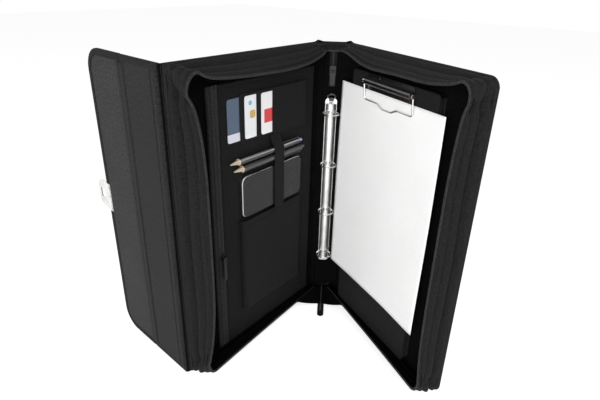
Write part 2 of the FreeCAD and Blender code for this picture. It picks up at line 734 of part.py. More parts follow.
def pocket_zip():
    """Zip tape between the panel and its margin, with its closed teeth as one ridge with sloping sides."""
    half_tape = ZIP_TAPE_W / 2
    tape = block(PANEL_ZIP_S - half_tape, PANEL_ZIP_S + half_tape, ZIP_FACE - ZIP_TAPE_T, ZIP_FACE,
                 PANEL_FOOT, PANEL_TOP)
    half = ZIP_CHAIN_W / 2
    foot = PANEL_FOOT + ZIP_STOP
    crown = half - ZIP_CHAIN_T / 2
    points = [V(PANEL_ZIP_S - half, ZIP_FACE, foot), V(PANEL_ZIP_S + half, ZIP_FACE, foot),
              V(PANEL_ZIP_S + crown, CHAIN_FACE, foot), V(PANEL_ZIP_S - crown, CHAIN_FACE, foot)]
    teeth = Part.Face(Part.makePolygon(points + points[:1])).extrude(V(0, 0, PANEL_TOP - ZIP_STOP - foot))
    return tape.fuse(teeth)


POCKET_ZIP = (PANEL_ZIP_S, CHAIN_FACE + SLIDER_PLAY, POCKET_SLIDER_Z, POCKET_SLIDER_LEN, POCKET_PULL_W)


CARD_LAYER = CARD_T + 2 * CARD_PLAY + CARD_POCKET_T
CARD_FOOT_Z = PANEL_TOP - CARD_HEAD - CARD_H


def card_edge(i):
    """Left edge of a card, away from the spine."""
    return CARD_FIRST_EDGE - CARD_STEP * i


def card(i):
    n0 = PANEL_FACE + CARD_LAYER * i + CARD_PLAY
    return sheet(card_edge(i) - CARD_LEN, card_edge(i), CARD_FOOT_Z, CARD_FOOT_Z + CARD_H, n0, n0 + CARD_T,
                 CARD_CORNER, CARD_CORNER)


def card_pocket(i):
    """Patch sewn down at its head, foot and spine side, open where the card slides in."""
    n0 = PANEL_FACE + CARD_LAYER * i
    n1 = n0 + CARD_LAYER
    slit = card_edge(i) - CARD_SHOWS
    z0 = CARD_FOOT_Z - CARD_SEAM
    z1 = CARD_FOOT_Z + CARD_H + CARD_SEAM
    patch = block(CARD_POCKET_START, slit, n0, n1, z0, z1)
    space = block(CARD_POCKET_START + CARD_SEAM_SIDE, slit + OVERCUT, n0 - OVERCUT, n1 - CARD_POCKET_T,
                  CARD_FOOT_Z - CARD_PLAY, CARD_FOOT_Z + CARD_H + CARD_PLAY)
    return patch.cut(space)


PEN_N = PANEL_FACE + PEN_PLAY + PEN_R
PEN_UPPER_Z = CARD_FOOT_Z - PEN_DROP
PEN_LOWER_Z = PEN_UPPER_Z - PEN_SPACING
PEN_LOWEST = PEN_LOWER_Z - PEN_R - PEN_CLIP_GAP - PEN_CLIP_T
PHONE_FOOT = PEN_LOWEST - PHONE_HEAD_GAP - PHONE_H
PHONE_POCKET_TOP = PHONE_FOOT - PHONE_LIFT
STRAP_FACE = PANEL_FACE + PHONE_DEPTH + PHONE_WALL


def pen_barrel(start, z):
    """Ball pen lying along the panel, its tip away from the spine."""
    end = start + PEN_LEN
    shoulder = start + PEN_BUTTON_LEN
    nose = end - PEN_TIP_LEN
    steps = [(start, 0), (start, PEN_BUTTON_R), (shoulder, PEN_BUTTON_R), (shoulder, PEN_R), (nose, PEN_R),
             (nose, PEN_NOSE_R), (end, PEN_TIP_R), (end, 0)]
    points = [V(s, radius, 0) for s, radius in steps]
    profile = Part.Face(Part.makePolygon(points + points[:1]))
    barrel = profile.revolve(V(0, 0, 0), V(1, 0, 0), 360)
    barrel.translate(V(0, PEN_N, z))
    return barrel


def pen(start, z, side):
    """Ball pen with its clip along the side, joined to the barrel at the button end."""
    root = start + PEN_BUTTON_LEN
    end = root + PEN_CLIP_LEN
    half = PEN_CLIP_W / 2
    near = z + side * (PEN_R + PEN_CLIP_GAP)
    far = near + side * PEN_CLIP_T
    spring = block(root, end, PEN_N - half, PEN_N + half, min(near, far), max(near, far))
    foot = block(root, root + PEN_CLIP_W, PEN_N - half, PEN_N + half, min(z, far), max(z, far))
    return pen_barrel(start, z).fuse([spring, foot]).removeSplitter()


def pen_strap():
    """Elastic strap over the pens, sewn to the panel above and to the pocket's front below."""
    top = PEN_UPPER_Z + PEN_R + STRAP_T
    sewn = CARD_FOOT_Z - CARD_SEAM - PEN_PLAY
    foot = PHONE_POCKET_TOP - STRAP_TAIL
    outer = STRAP_FACE + STRAP_T
    profile = [(STRAP_FACE, foot), (outer, foot), (outer, top), (PANEL_FACE + STRAP_T, sewn),
               (PANEL_FACE, sewn), (PANEL_FACE, sewn - STRAP_HEAD), (STRAP_FACE, top - STRAP_T)]
    points = [V(STRAP_S, n, z) for n, z in profile]
    return Part.Face(Part.makePolygon(points + points[:1])).extrude(V(STRAP_W, 0, 0))


def phone():
    """Slim phone held on its side between the strap and the panel, with bevelled front edges."""
    back = PANEL_FACE + PHONE_PLAY
    body = sheet(PHONE_START, PHONE_START + PHONE_LEN, PHONE_FOOT, PHONE_FOOT + PHONE_H, back, back + PHONE_T,
                 PHONE_CORNER, PHONE_CORNER)
    rim = [edge for edge in body.Edges if edge.BoundBox.YMin > back + PHONE_T / 2]
    return body.makeChamfer(PHONE_EDGE, rim)


def phone_pocket():
    """Deep patch pocket, open at its top."""
    outer = block(PHONE_POCKET_START, PHONE_POCKET_END, PANEL_FACE, STRAP_FACE, PHONE_POCKET_FOOT,
                  PHONE_POCKET_TOP)
    inner = block(PHONE_POCKET_START + PHONE_WALL, PHONE_POCKET_END - PHONE_WALL, PANEL_FACE - OVERCUT,
                  STRAP_FACE - PHONE_WALL, PHONE_POCKET_FOOT + PHONE_WALL, PHONE_POCKET_TOP + OVERCUT)
    return outer.cut(inner)


# Clipboard
CLIPBOARD_BACK = COVER_T + CLIPBOARD_POCKET
CLIPBOARD_FACE = CLIPBOARD_BACK + PANEL_T
CLIPBOARD_TOP = HEIGHT - CLIPBOARD_HEAD
CLIP_END = CLIP_START + CLIP_LEN
CLIP_FOOT_Z = CLIPBOARD_TOP - CLIP_PLATE_H
SHEET_TOP = CLIP_FOOT_Z - SHEET_HEAD_GAP
SHEET_FACE = CLIPBOARD_FACE + SHEET_PLAY + SHEET_T
CLIP_ROD_Z = CLIP_FOOT_Z + CLIP_PLATE_H / 2
CLIP_ROD_N = CLIPBOARD_FACE + CLIP_PLATE_T + CLIP_BARREL_R


def clipboard_panel():
    return sheet(CLIPBOARD_START, CLIPBOARD_END, PANEL_FOOT, CLIPBOARD_TOP, CLIPBOARD_BACK, CLIPBOARD_FACE,
                 CLIPBOARD_CORNER, CLIPBOARD_CORNER)


def clipboard_wall():
    """Wall of the document pocket behind the clipboard, open at the head."""
    outer = sheet(CLIPBOARD_START, CLIPBOARD_END, PANEL_FOOT, CLIPBOARD_TOP - CLIPBOARD_CORNER, COVER_T,
                  CLIPBOARD_BACK)
    inner = block(CLIPBOARD_START + POCKET_WALL, CLIPBOARD_END - POCKET_WALL, 0, HEIGHT,
                  PANEL_FOOT + POCKET_WALL, HEIGHT)
    corners = sheet(CLIPBOARD_START, CLIPBOARD_END, PANEL_FOOT, CLIPBOARD_TOP, COVER_T, CLIPBOARD_BACK,
                    CLIPBOARD_CORNER, CLIPBOARD_CORNER)
    return outer.cut(inner).common(corners)


def writing_sheet():
    """Sheet of writing paper under the clip."""
    return sheet(SHEET_START, SHEET_START + SHEET_W, SHEET_FOOT, SHEET_TOP, CLIPBOARD_FACE + SHEET_PLAY,
                 SHEET_FACE)


def clip_base():
    """Clip's plate with its rolled barrel."""
    face = CLIPBOARD_FACE + CLIP_PLATE_T
    plate = sheet(CLIP_START, CLIP_END, CLIP_FOOT_Z, CLIP_FOOT_Z + CLIP_PLATE_H, CLIPBOARD_FACE, face,
                  CLIP_BARREL_R, CLIP_BARREL_R)
    barrel = along_sheet(CLIP_START, CLIP_END, CLIP_ROD_N, CLIP_ROD_Z, CLIP_BARREL_R)
    neck = block(CLIP_START, CLIP_END, CLIPBOARD_FACE, CLIP_ROD_N, CLIP_ROD_Z - CLIP_PLATE_T,
                 CLIP_ROD_Z + CLIP_PLATE_T)
    bore = along_sheet(CLIP_START - OVERCUT, CLIP_END + OVERCUT, CLIP_ROD_N, CLIP_ROD_Z, CLIP_BARREL_BORE)
    return barrel.fuse([neck, plate]).cut(bore)


def clip_spring():
    """Torsion spring wound on the rod inside the barrel, as its outer form."""
    coil = along_sheet(CLIP_START + CLIP_BARREL_R, CLIP_END - CLIP_BARREL_R, CLIP_ROD_N, CLIP_ROD_Z,
                       CLIP_SPRING_R)
    bore = along_sheet(CLIP_START, CLIP_END, CLIP_ROD_N, CLIP_ROD_Z, CLIP_SPRING_BORE)
    return coil.cut(bore)


def clip_rod():
    return along_sheet(CLIP_START - CLIP_ROD_OUT, CLIP_END + CLIP_ROD_OUT, CLIP_ROD_N, CLIP_ROD_Z, CLIP_ROD_R)


def clip_bail():
    """Wire bail that presses on the sheet, with a wave for the thumb in its lower run and eyes on the rod."""
    low = SHEET_FACE + SHEET_PLAY + BAIL_R
    foot = CLIP_ROD_Z - BAIL_DROP
    middle = (CLIP_START + CLIP_END) / 2
    out = CLIP_ROD_OUT - CLIP_EYE_LEN / 2
    left = CLIP_START - out
    right = CLIP_END + out
    points = [V(left, CLIP_ROD_N, CLIP_ROD_Z), V(left, low, foot),
              V(middle - BAIL_DIP_SIDE, low, foot), V(middle - BAIL_DIP_HALF, low, foot - BAIL_DIP),
              V(middle + BAIL_DIP_HALF, low, foot - BAIL_DIP), V(middle + BAIL_DIP_SIDE, low, foot),
              V(right, low, foot), V(right, CLIP_ROD_N, CLIP_ROD_Z)]
    wire = bent_rod(points, BAIL_BEND, BAIL_R)
    eyes = []
    for s in (left, right):
        end = V(s - CLIP_EYE_LEN / 2, CLIP_ROD_N, CLIP_ROD_Z)
        ring = Part.Face(wire_section(end, V(1, 0, 0), V(0, 1, 0), CLIP_EYE_R))
        eyes.append(ring.extrude(V(CLIP_EYE_LEN, 0, 0)))
    bore = along_sheet(left - CLIP_EYE_LEN, right + CLIP_EYE_LEN, CLIP_ROD_N, CLIP_ROD_Z,
                       CLIP_ROD_R + PIN_PLAY)
    return wire.fuse(eyes).cut(bore)


def clip_rivets():
    z = CLIP_FOOT_Z + CLIP_PLATE_H - CLIP_RIVET_IN
    face = CLIPBOARD_FACE + CLIP_PLATE_T
    places = (CLIP_START + CLIP_LEN / 4, CLIP_END - CLIP_LEN / 4)
    return Part.makeCompound([rivet_head(s, face, z, RIVET_R, RIVET_H, 1) for s in places])


# Wrap strip and flap, whose depth is measured from the fold axis
FLAP_SKIN_FACE = SKIN_T - FLAP_OUTER
FLAP_BOARD_FACE = FLAP_SKIN_FACE + FLAP_BOARD_T
FLAP_START = FOLD_R + FOLD_PLAY
LOCK_Z = HEIGHT / 2 + LOCK_RISE
TONGUE_LOW = LOCK_Z - TONGUE_W / 2
TONGUE_HIGH = LOCK_Z + TONGUE_W / 2


def strip_skin():
    """Skin of the strip that wraps the fore edge, with the roll that the flap turns on."""
    plate = block(FLAP_START, STRIP_WIDTH, -FLAP_OUTER, FLAP_SKIN_FACE, 0, HEIGHT)
    return plate.fuse(upright(STRIP_WIDTH, 0, FOLD_R, 0, HEIGHT)).removeSplitter()


def strip_lining():
    """Padded lining of the strip."""
    return block(FOLD_SETBACK, STRIP_WIDTH - FOLD_SETBACK, FLAP_SKIN_FACE, FLAP_INNER, 0, HEIGHT)


def flap_sheet(start, inset, n0, n1):
    return sheet(start, FLAP_WIDTH - inset, inset, HEIGHT - inset, n0, n1, 0, FLAP_CORNER - inset)


def tongue_seat():
    """Space for the tongue between the flap's layers."""
    return block(FLAP_WIDTH - TONGUE_IN, 2 * FLAP_WIDTH, FLAP_SKIN_FACE - OVERCUT, FLAP_BOARD_FACE + OVERCUT,
                 TONGUE_LOW, TONGUE_HIGH)


def flap_skin():
    return flap_sheet(FLAP_START, 0, -FLAP_OUTER, FLAP_SKIN_FACE)


def flap_board():
    return flap_sheet(FOLD_SETBACK, BINDING_W, FLAP_SKIN_FACE, FLAP_BOARD_FACE).cut(tongue_seat())


def flap_binding():
    """Turned edge round the flap's board."""
    outer = flap_sheet(FOLD_SETBACK, 0, FLAP_SKIN_FACE, FLAP_BOARD_FACE)
    inner = flap_sheet(0, BINDING_W, FLAP_SKIN_FACE - OVERCUT, FLAP_BOARD_FACE + OVERCUT)
    return outer.cut(inner).cut(tongue_seat())


def flap_lining():
    return flap_sheet(FOLD_SETBACK, 0, FLAP_BOARD_FACE, FLAP_INNER)


def lock_tongue():
    """Steel tongue that stands out of the flap's free edge, with the slot for the catch's post."""
    end = FLAP_WIDTH + TONGUE_OUT
    plate = sheet(FLAP_WIDTH - TONGUE_IN, end, TONGUE_LOW, TONGUE_HIGH, FLAP_SKIN_FACE, FLAP_BOARD_FACE, 0,
                  TONGUE_CORNER)
    slot_end = end - TONGUE_SLOT_EDGE
    half = TONGUE_SLOT_W / 2
    slot = block(slot_end - TONGUE_SLOT_LEN, slot_end, -FLAP_WIDTH, FLAP_WIDTH, LOCK_Z - half, LOCK_Z + half)
    return plate.cut(slot)


def tongue_plates():
    """Thin plates on both faces of the flap that clamp the tongue, with their rivet heads."""
    start = FLAP_WIDTH - TONGUE_PLATE_IN
    step = TONGUE_W / TONGUE_RIVETS
    plates = []
    for face, side in ((FLAP_INNER, 1), (-FLAP_OUTER, -1)):
        top = face + side * TONGUE_PLATE_T
        plate = block(start, FLAP_WIDTH, min(face, top), max(face, top), TONGUE_LOW, TONGUE_HIGH)
        heads = []
        for i in range(TONGUE_RIVETS):
            z = TONGUE_LOW + step * (i + 0.5)
            heads.append(rivet_head(start + TONGUE_PLATE_IN / 2, top, z, TONGUE_RIVET_R, TONGUE_RIVET_HEAD,
                                    side))
        plates.append(plate.fuse(heads))
    return Part.makeCompound([solid for plate in plates for solid in plate.Solids])


# Catch on the front cover's outer face, where depth is negative outside
POST_S = STRIP_AXIS_S - FLAP_WIDTH - TONGUE_OUT + TONGUE_SLOT_EDGE + TONGUE_SLOT_LEN / 2
TONGUE_OUTER_N = -(FLAP_CLEAR + FLAP_INNER) + FLAP_SKIN_FACE
BOLT_INNER_N = TONGUE_OUTER_N - BOLT_PLAY
BOLT_OUTER_N = BOLT_INNER_N - BOLT_T


def catch_base():
    """Plate riveted to the cover with the post that stands through the tongue's slot."""
    start = POST_S - CATCH_LEN / 2
    plate = sheet(start, start + CATCH_LEN, LOCK_Z - CATCH_W / 2, LOCK_Z + CATCH_W / 2, -CATCH_T, 0,
                  CATCH_CORNER, CATCH_CORNER)
    post = block(POST_S - POST_LEN / 2, POST_S + POST_LEN / 2, -CATCH_T - POST_H, -CATCH_T,
                 LOCK_Z - POST_W / 2, LOCK_Z + POST_W / 2)
    half = (BOLT_W + BOLT_PLAY) / 2
    tunnel = block(POST_S - POST_LEN, POST_S + POST_LEN, BOLT_OUTER_N - BOLT_PLAY / 2,
                   BOLT_INNER_N + BOLT_PLAY / 2, LOCK_Z - half, LOCK_Z + half)
    return plate.fuse(post).removeSplitter().cut(tunnel)


def catch_bolt():
    """Bolt that slides through the post over the tongue, with a thumb knob at its tail."""
    nose = POST_S + TONGUE_SLOT_LEN / 2 + BOLT_NOSE
    tail = POST_S - POST_LEN / 2 - BOLT_TAIL
    half = BOLT_W / 2
    bar = block(tail, nose, BOLT_OUTER_N, BOLT_INNER_N, LOCK_Z - half, LOCK_Z + half)
    knob = sheet(tail, tail + BOLT_KNOB_LEN, LOCK_Z - POST_W / 2, LOCK_Z + POST_W / 2,
                 BOLT_OUTER_N - BOLT_KNOB_H, BOLT_OUTER_N, BOLT_KNOB_CORNER, BOLT_KNOB_CORNER)
    return bar.fuse(knob)


def build():
    """Every piece of the folder, by name, where it stands."""
    board_face = SKIN_T + BOARD_T
    pens = [("upper", PEN_UPPER_S, PEN_UPPER_Z, 1), ("lower", PEN_LOWER_S, PEN_LOWER_Z, -1)]
    back = {
        "back_skin": cover_skin(BACK_CORNER).fuse(strip_hinge()),
        "back_board": cover_layer(SKIN_T, board_face, BACK_CORNER),
        "back_lining": cover_layer(board_face, COVER_T, BACK_CORNER),
        "back_gusset": gusset(BACK_FORE_LEAN, BACK_SEWN_ROUND),
        "back_zip_edge": zip_edge(BACK_FORE_LEAN),
        "organiser_panel": organiser_panel(),
        "organiser_wall": organiser_wall(),
        "organiser_margin": organiser_margin(),
        "pocket_zip": pocket_zip(),
        "pocket_slider": zip_slider(*POCKET_ZIP),
        "pocket_pull": zip_pull(*POCKET_ZIP, POCKET_PULL_LEN),
        "pen_strap": pen_strap(),
        "phone_pocket": phone_pocket(),
        "phone": phone(),
    }
    for i in range(CARD_COUNT):
        back[f"card_pocket_{i + 1}"] = card_pocket(i)
        back[f"card_{i + 1}"] = card(i)
    for name, start, z, side in pens:
        back[f"{name}_pen"] = pen(start, z, side)
    spine = {
        "spine_skin": spine_skin(),
        "spine_board": spine_layer(SKIN_T, board_face),
        "spine_lining": spine_layer(board_face, COVER_T),
        "ring_base": ring_base(),
        "ring_cover": ring_cover(),
        "back_side_leaf": ring_leaf(-1),
        "back_side_half_rings": half_rings(-1),
        "front_side_leaf": ring_leaf(1),
        "front_side_half_rings": half_rings(1),
        "ring_lever": ring_lever(),
        "lever_pin": lever_pin(),
        "zip_tail_head": head_tail(),
        "zip_tail_foot": foot_tail(),
        "main_slider": zip_slider(*MAIN_ZIP),
        "main_pull": zip_pull(*MAIN_ZIP, PULL_LEN),
    }
    front = {
        "front_skin": cover_skin(COVER_CORNER),
        "front_board": cover_layer(SKIN_T, board_face, COVER_CORNER),
        "front_lining": cover_layer(board_face, COVER_T, COVER_CORNER),
        "front_gusset": gusset(FRONT_FORE_LEAN, FRONT_SEWN_ROUND),
        "front_zip_edge": zip_edge(FRONT_FORE_LEAN),
        "clipboard_panel": clipboard_panel(),
        "clipboard_wall": clipboard_wall(),
        "writing_sheet": writing_sheet(),
        "clip_base": clip_base(),
        "clip_spring": clip_spring(),
        "clip_rod": clip_rod(),
        "clip_bail": clip_bail(),
        "clip_rivets": clip_rivets(),
        "catch_base": catch_base(),
        "catch_bolt": catch_bolt(),
    }
    strip = {
        "strip_skin": strip_skin(),
        "strip_lining": strip_lining(),
    }
    flap = {
        "flap_skin": flap_skin(),
        "flap_board": flap_board(),
        "flap_binding": flap_binding(),
        "flap_lining": flap_lining(),
        "lock_tongue": lock_tongue(),
        "tongue_plates": tongue_plates(),
    }
    placed = {}
    for pieces, place in ((back, to_back), (spine, to_spine), (front, to_front), (strip, to_strip),
                          (flap, to_flap)):
        for name, shape in pieces.items():
            placed[name] = place(shape)
    return placed


def main():
    os.makedirs("parts", exist_ok=True)
    for name, shape in build().items():
        shape.exportStep(f"parts/{name}.step")


main()
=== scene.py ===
"""Looks of a zip-around document folder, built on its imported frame.

Each stiff panel has a flat frame of its own: s runs along it from its fold, n inwards from its
outer face, and z up. Every length is in metres.
"""
import json
import logging
import math
from dataclasses import dataclass, field
from enum import Enum
from typing import Callable, Mapping, Optional, Sequence, Union

import bmesh
import bpy
import numpy as np
from mathutils import Matrix


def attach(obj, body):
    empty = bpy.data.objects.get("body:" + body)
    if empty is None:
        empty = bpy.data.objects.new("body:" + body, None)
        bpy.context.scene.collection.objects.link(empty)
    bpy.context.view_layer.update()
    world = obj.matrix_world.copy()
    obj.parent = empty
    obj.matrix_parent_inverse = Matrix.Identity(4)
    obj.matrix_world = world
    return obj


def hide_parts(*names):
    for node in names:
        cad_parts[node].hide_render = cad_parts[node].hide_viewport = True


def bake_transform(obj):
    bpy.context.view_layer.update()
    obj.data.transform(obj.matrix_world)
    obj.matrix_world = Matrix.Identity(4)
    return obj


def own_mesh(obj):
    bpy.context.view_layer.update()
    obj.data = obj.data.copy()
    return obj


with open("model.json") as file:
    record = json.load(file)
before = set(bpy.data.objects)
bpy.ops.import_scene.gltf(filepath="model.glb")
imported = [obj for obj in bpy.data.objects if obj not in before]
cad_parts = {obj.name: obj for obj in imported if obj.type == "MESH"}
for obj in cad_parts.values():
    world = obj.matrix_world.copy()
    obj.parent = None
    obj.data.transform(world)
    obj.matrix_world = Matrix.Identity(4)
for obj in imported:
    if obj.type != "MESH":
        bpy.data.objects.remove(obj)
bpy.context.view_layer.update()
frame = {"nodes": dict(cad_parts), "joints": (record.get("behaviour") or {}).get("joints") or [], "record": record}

Array = np.ndarray
Depth = Callable[[Array, Array, Array], Array]
MM = 0.001
FOLD_R = 1.5 * MM
UP = np.array([0.0, 0.0, 1.0])
LOG = logging.getLogger("folder")
JOINTS = {joint["name"]: joint for joint in frame["joints"]}


# Surfaces on grids
def unit(vectors: Array) -> Array:
    """Vectors of length one along the last axis."""
    return vectors / np.linalg.norm(vectors, axis=-1, keepdims=True)


def run_lengths(path: Array) -> Array:
    """Distance run along a path at each of its points."""
    steps = np.linalg.norm(np.diff(path, axis=0), axis=1)
    return np.concatenate([[0.0], np.cumsum(steps)])


def smooth(value: Array, low: float, high: float) -> Array:
    """Smooth step from 0 at low to 1 at high."""
    t = np.clip((value - low) / (high - low), 0.0, 1.0)
    return t * t * (3 - 2 * t)


def hill(value: Array, middle: float, width: float) -> Array:
    """Bell of height one round a middle value."""
    return np.exp(-((value - middle) / width) ** 2)


@dataclass
class Surface:
    """Mesh in the making: points, four-cornered faces, and a UV in metres for each point."""

    points: Array
    quads: Array
    uv: Array

    @classmethod
    def grid(cls, points: Array, uv: Optional[Array] = None) -> "Surface":
        """Faces over a grid of points.

        Args:
            points: Rows by columns by 3.
            uv: Rows by columns by 2; left out, it is the distance run along a row and a column.
        Returns:
            The surface.
        """
        rows, columns = points.shape[:2]
        index = np.arange(rows * columns).reshape(rows, columns)
        quads = np.stack([index[:-1, :-1], index[:-1, 1:], index[1:, 1:], index[1:, :-1]], axis=-1)
        if uv is None:
            across = run_lengths(points[rows // 2])
            down = run_lengths(points[:, columns // 2])
            uv = np.stack(np.broadcast_arrays(across[None, :], down[:, None]), axis=-1)
        return cls(points.reshape(-1, 3), quads.reshape(-1, 4), uv.reshape(-1, 2))

    def __add__(self, other: "Surface") -> "Surface":
        """Both surfaces as one."""
        return Surface(np.concatenate([self.points, other.points]),
                       np.concatenate([self.quads, other.quads + len(self.points)]),
                       np.concatenate([self.uv, other.uv]))

    def area(self) -> float:
        """Area of all the faces, from half the cross product of each one's diagonals."""
        a, b, c, d = np.moveaxis(self.points[self.quads], 1, 0)
        return float(0.5 * np.linalg.norm(np.cross(c - a, d - b), axis=1).sum())

    def mesh(self, name: str, sharp_deg: float) -> bpy.types.Mesh:
        """Blender mesh with its seams closed and its faces turned outwards.

        Args:
            name: The mesh's name.
            sharp_deg: Edges turning more than this stay crisp.
        Returns:
            The mesh.
        """
        mesh = bpy.data.meshes.new(name)
        count = len(self.quads)
        mesh.vertices.add(len(self.points))
        mesh.vertices.foreach_set("co", self.points.astype(np.float32).ravel())
        mesh.loops.add(4 * count)
        mesh.loops.foreach_set("vertex_index", self.quads.astype(np.int32).ravel())
        mesh.polygons.add(count)
        mesh.polygons.foreach_set("loop_start", np.arange(0, 4 * count, 4, dtype=np.int32))
        layer = mesh.uv_layers.new(name="UVMap")
        layer.data.foreach_set("uv", self.uv[self.quads.ravel()].astype(np.float32).ravel())
        mesh.update(calc_edges=True)
        work = bmesh.new()
        work.from_mesh(mesh)
        bmesh.ops.remove_doubles(work, verts=work.verts, dist=2e-6)
        bmesh.ops.dissolve_degenerate(work, edges=work.edges, dist=1e-7)
        bmesh.ops.recalc_face_normals(work, faces=work.faces)
        work.to_mesh(mesh)
        work.free()
        mesh.shade_smooth()
        mesh.set_sharp_from_angle(angle=math.radians(sharp_deg))
        return mesh


def end_closed(points: Array) -> Array:
    """Grid with a row more at each end, drawn together to the middle point of the end row."""
    ends = [np.broadcast_to(points[i].mean(axis=0), points[i].shape)[None] for i in (0, -1)]
    return np.concatenate([ends[0], points, ends[1]])


def carried(path: Array, facing: Array, profile: Array) -> Surface:
    """Profile carried along a path, with its ends closed to their middle points.

    Each point is the path's point, plus the profile's x along the side direction, which is the path's
    tangent crossed with the facing direction, plus its y along the facing direction.

    Args:
        path: N by 3.
        facing: Direction of the profile's y, one for all or N by 3.
        profile: K by 2, its last point equal to its first where it is closed.
    Returns:
        The surface.
    """
    tangent = unit(np.gradient(path, axis=0))
    side = unit(np.cross(tangent, np.broadcast_to(facing, path.shape)))
    out = np.cross(side, tangent)
    points = path[:, None] + side[:, None] * profile[None, :, :1] + out[:, None] * profile[None, :, 1:]
    down = run_lengths(path)
    down = np.concatenate([down[:1], down, down[-1:]])
    across = run_lengths(profile)
    uv = np.stack(np.broadcast_arrays(across[None, :], down[:, None]), axis=-1)
    return Surface.grid(end_closed(points), uv)


def oval(width: float, height: float, sides: int, square: float = 1.0) -> Array:
    """Closed oval profile; a square value under one pushes it towards a rounded box.

    Args:
        width: Its size in x.
        height: Its size in y.
        sides: How many points go round it.
        square: Power of its sine and cosine.
    Returns:
        K by 2.
    """
    turn = np.linspace(0.0, 2 * math.pi, sides + 1)
    x, y = np.cos(turn), np.sin(turn)
    return np.stack([np.sign(x) * np.abs(x) ** square * width / 2,
                     np.sign(y) * np.abs(y) ** square * height / 2], axis=-1)


def at_runs(path: Array, runs: Array, values: Optional[Array] = None) -> Array:
    """Points of a path, or other vectors that go with them, at given distances along it.

    Args:
        path: N by 3.
        runs: The distances.
        values: N by 3; left out, the path itself.
    Returns:
        One row for each distance.
    """
    lengths = run_lengths(path)
    values = path if values is None else values
    return np.stack([np.interp(runs, lengths, values[:, i]) for i in range(3)], axis=-1)


def bead() -> tuple[Array, Array]:
    """Points and faces of a bead: four six-sided rings along x, the end rings smaller.

    Returns:
        The points, as shares of a bead's size, and the faces.
    """
    places, radii = np.array([-0.5, -0.25, 0.25, 0.5]), np.array([0.45, 1.0, 1.0, 0.45])
    sides = 6
    turn = np.arange(sides) * 2 * math.pi / sides
    ring = np.stack([np.zeros(sides), np.cos(turn), np.sin(turn)], axis=-1)
    points = ring[None] * radii[:, None, None]
    points[..., 0] = places[:, None]
    index = np.arange(len(places) * sides).reshape(len(places), sides)
    around = np.roll(index, -1, axis=1)
    quads = np.stack([index[:-1], around[:-1], around[1:], index[1:]], axis=-1).reshape(-1, 4)
    ends = np.array([[0, 1, 2, 3], [0, 3, 4, 5]])
    return points.reshape(-1, 3), np.concatenate([quads, ends, ends + index[-1, 0]])


def beads(path: Array, facing: Array, pitch: float, size: Sequence[float],
          lift: float = 0.0, sway: float = 0.0) -> Surface:
    """Beads set down along a path, as stitches or teeth.

    Args:
        path: N by 3.
        facing: Direction that the beads stand up in, one for all or N by 3.
        pitch: Distance from one bead to the next.
        size: A bead's length along the path, across it and upwards.
        lift: How far the beads stand off the path.
        sway: How far every other bead stands to one side and the rest to the other.
    Returns:
        All the beads as one surface.
    """
    total = run_lengths(path)[-1]
    runs = (np.arange(max(int(total / pitch), 1)) + 0.5) * pitch
    places = at_runs(path, runs)
    tangent = unit(at_runs(path, runs + pitch * 0.2) - at_runs(path, runs - pitch * 0.2))
    out = at_runs(path, runs, np.broadcast_to(facing, path.shape))
    side = unit(np.cross(tangent, out))
    out = np.cross(side, tangent)
    swing = np.where(np.arange(len(runs)) % 2 == 0, sway, -sway)[:, None]
    axes = np.stack([tangent * size[0], side * size[1], out * size[2]], axis=1)
    shape, quads = bead()
    points = (places + out * lift + side * swing)[:, None] + np.einsum("kj,nji->nki", shape, axes)
    uv = np.broadcast_to(shape[None, :, :2] * MM, (*points.shape[:2], 2))
    shift = np.arange(len(places))[:, None, None] * len(shape)
    return Surface(points.reshape(-1, 3), (quads[None] + shift).reshape(-1, 4), uv.reshape(-1, 2))


# Flat frames of the panels
@dataclass(frozen=True)
class Extent:
    """Where a node lies in a panel's flat frame."""

    s0: float
    s1: float
    n0: float
    n1: float
    z0: float
    z1: float

    @property
    def s(self) -> tuple[float, float]:
        """Its span along the panel."""
        return self.s0, self.s1

    @property
    def z(self) -> tuple[float, float]:
        """Its span in height."""
        return self.z0, self.z1

    @property
    def middle(self) -> float:
        """Middle of its span along the panel."""
        return (self.s0 + self.s1) / 2


@dataclass(frozen=True)
class Plane:
    """Flat frame of a panel: its fold's place in plan, the directions of s and n, and the fold's depth."""

    fold: tuple[float, float]
    along: tuple[float, float]
    inward: tuple[float, float]
    depth: float

    def at(self, s: Array, n: Array, z: Array) -> Array:
        """Points at distances s, depths n and heights z, which are broadcast together.

        Args:
            s: Distances along the panel.
            n: Depths.
            z: Heights.
        Returns:
            Points, with xyz on the last axis.
        """
        s, n, z = np.broadcast_arrays(np.asarray(s, float), np.asarray(n, float), np.asarray(z, float))
        n = n - self.depth
        return np.stack([self.fold[0] + self.along[0] * s + self.inward[0] * n,
                         self.fold[1] + self.along[1] * s + self.inward[1] * n, z], axis=-1)

    def way(self, s: Array, n: Array, z: Array) -> Array:
        """Directions with the given shares of s, n and z."""
        return self.at(s, np.asarray(n, float) + self.depth, z) - self.at(0.0, self.depth, 0.0)

    @property
    def face(self) -> Array:
        """Direction that the panel's inner side faces."""
        return self.way(0.0, 1.0, 0.0)

    def extent(self, node: str) -> Extent:
        """Box of a node, measured in this frame.

        Args:
            node: Its name.
        Returns:
            The box.
        """
        mesh = frame["nodes"][node].data
        points = np.empty(3 * len(mesh.vertices), np.float32)
        mesh.vertices.foreach_get("co", points)
        points = points.reshape(-1, 3).astype(float)
        plan = points[:, :2] - np.array(self.fold)
        local = np.stack([plan @ np.array(self.along), plan @ np.array(self.inward) + self.depth,
                          points[:, 2]], axis=-1)
        low, high = local.min(axis=0), local.max(axis=0)
        return Extent(low[0], high[0], low[1], high[1], low[2], high[2])


def fold_place(joint: str) -> Array:
    """Plan position of a fold's axis."""
    return np.array(JOINTS[joint]["pos_m"][:2])


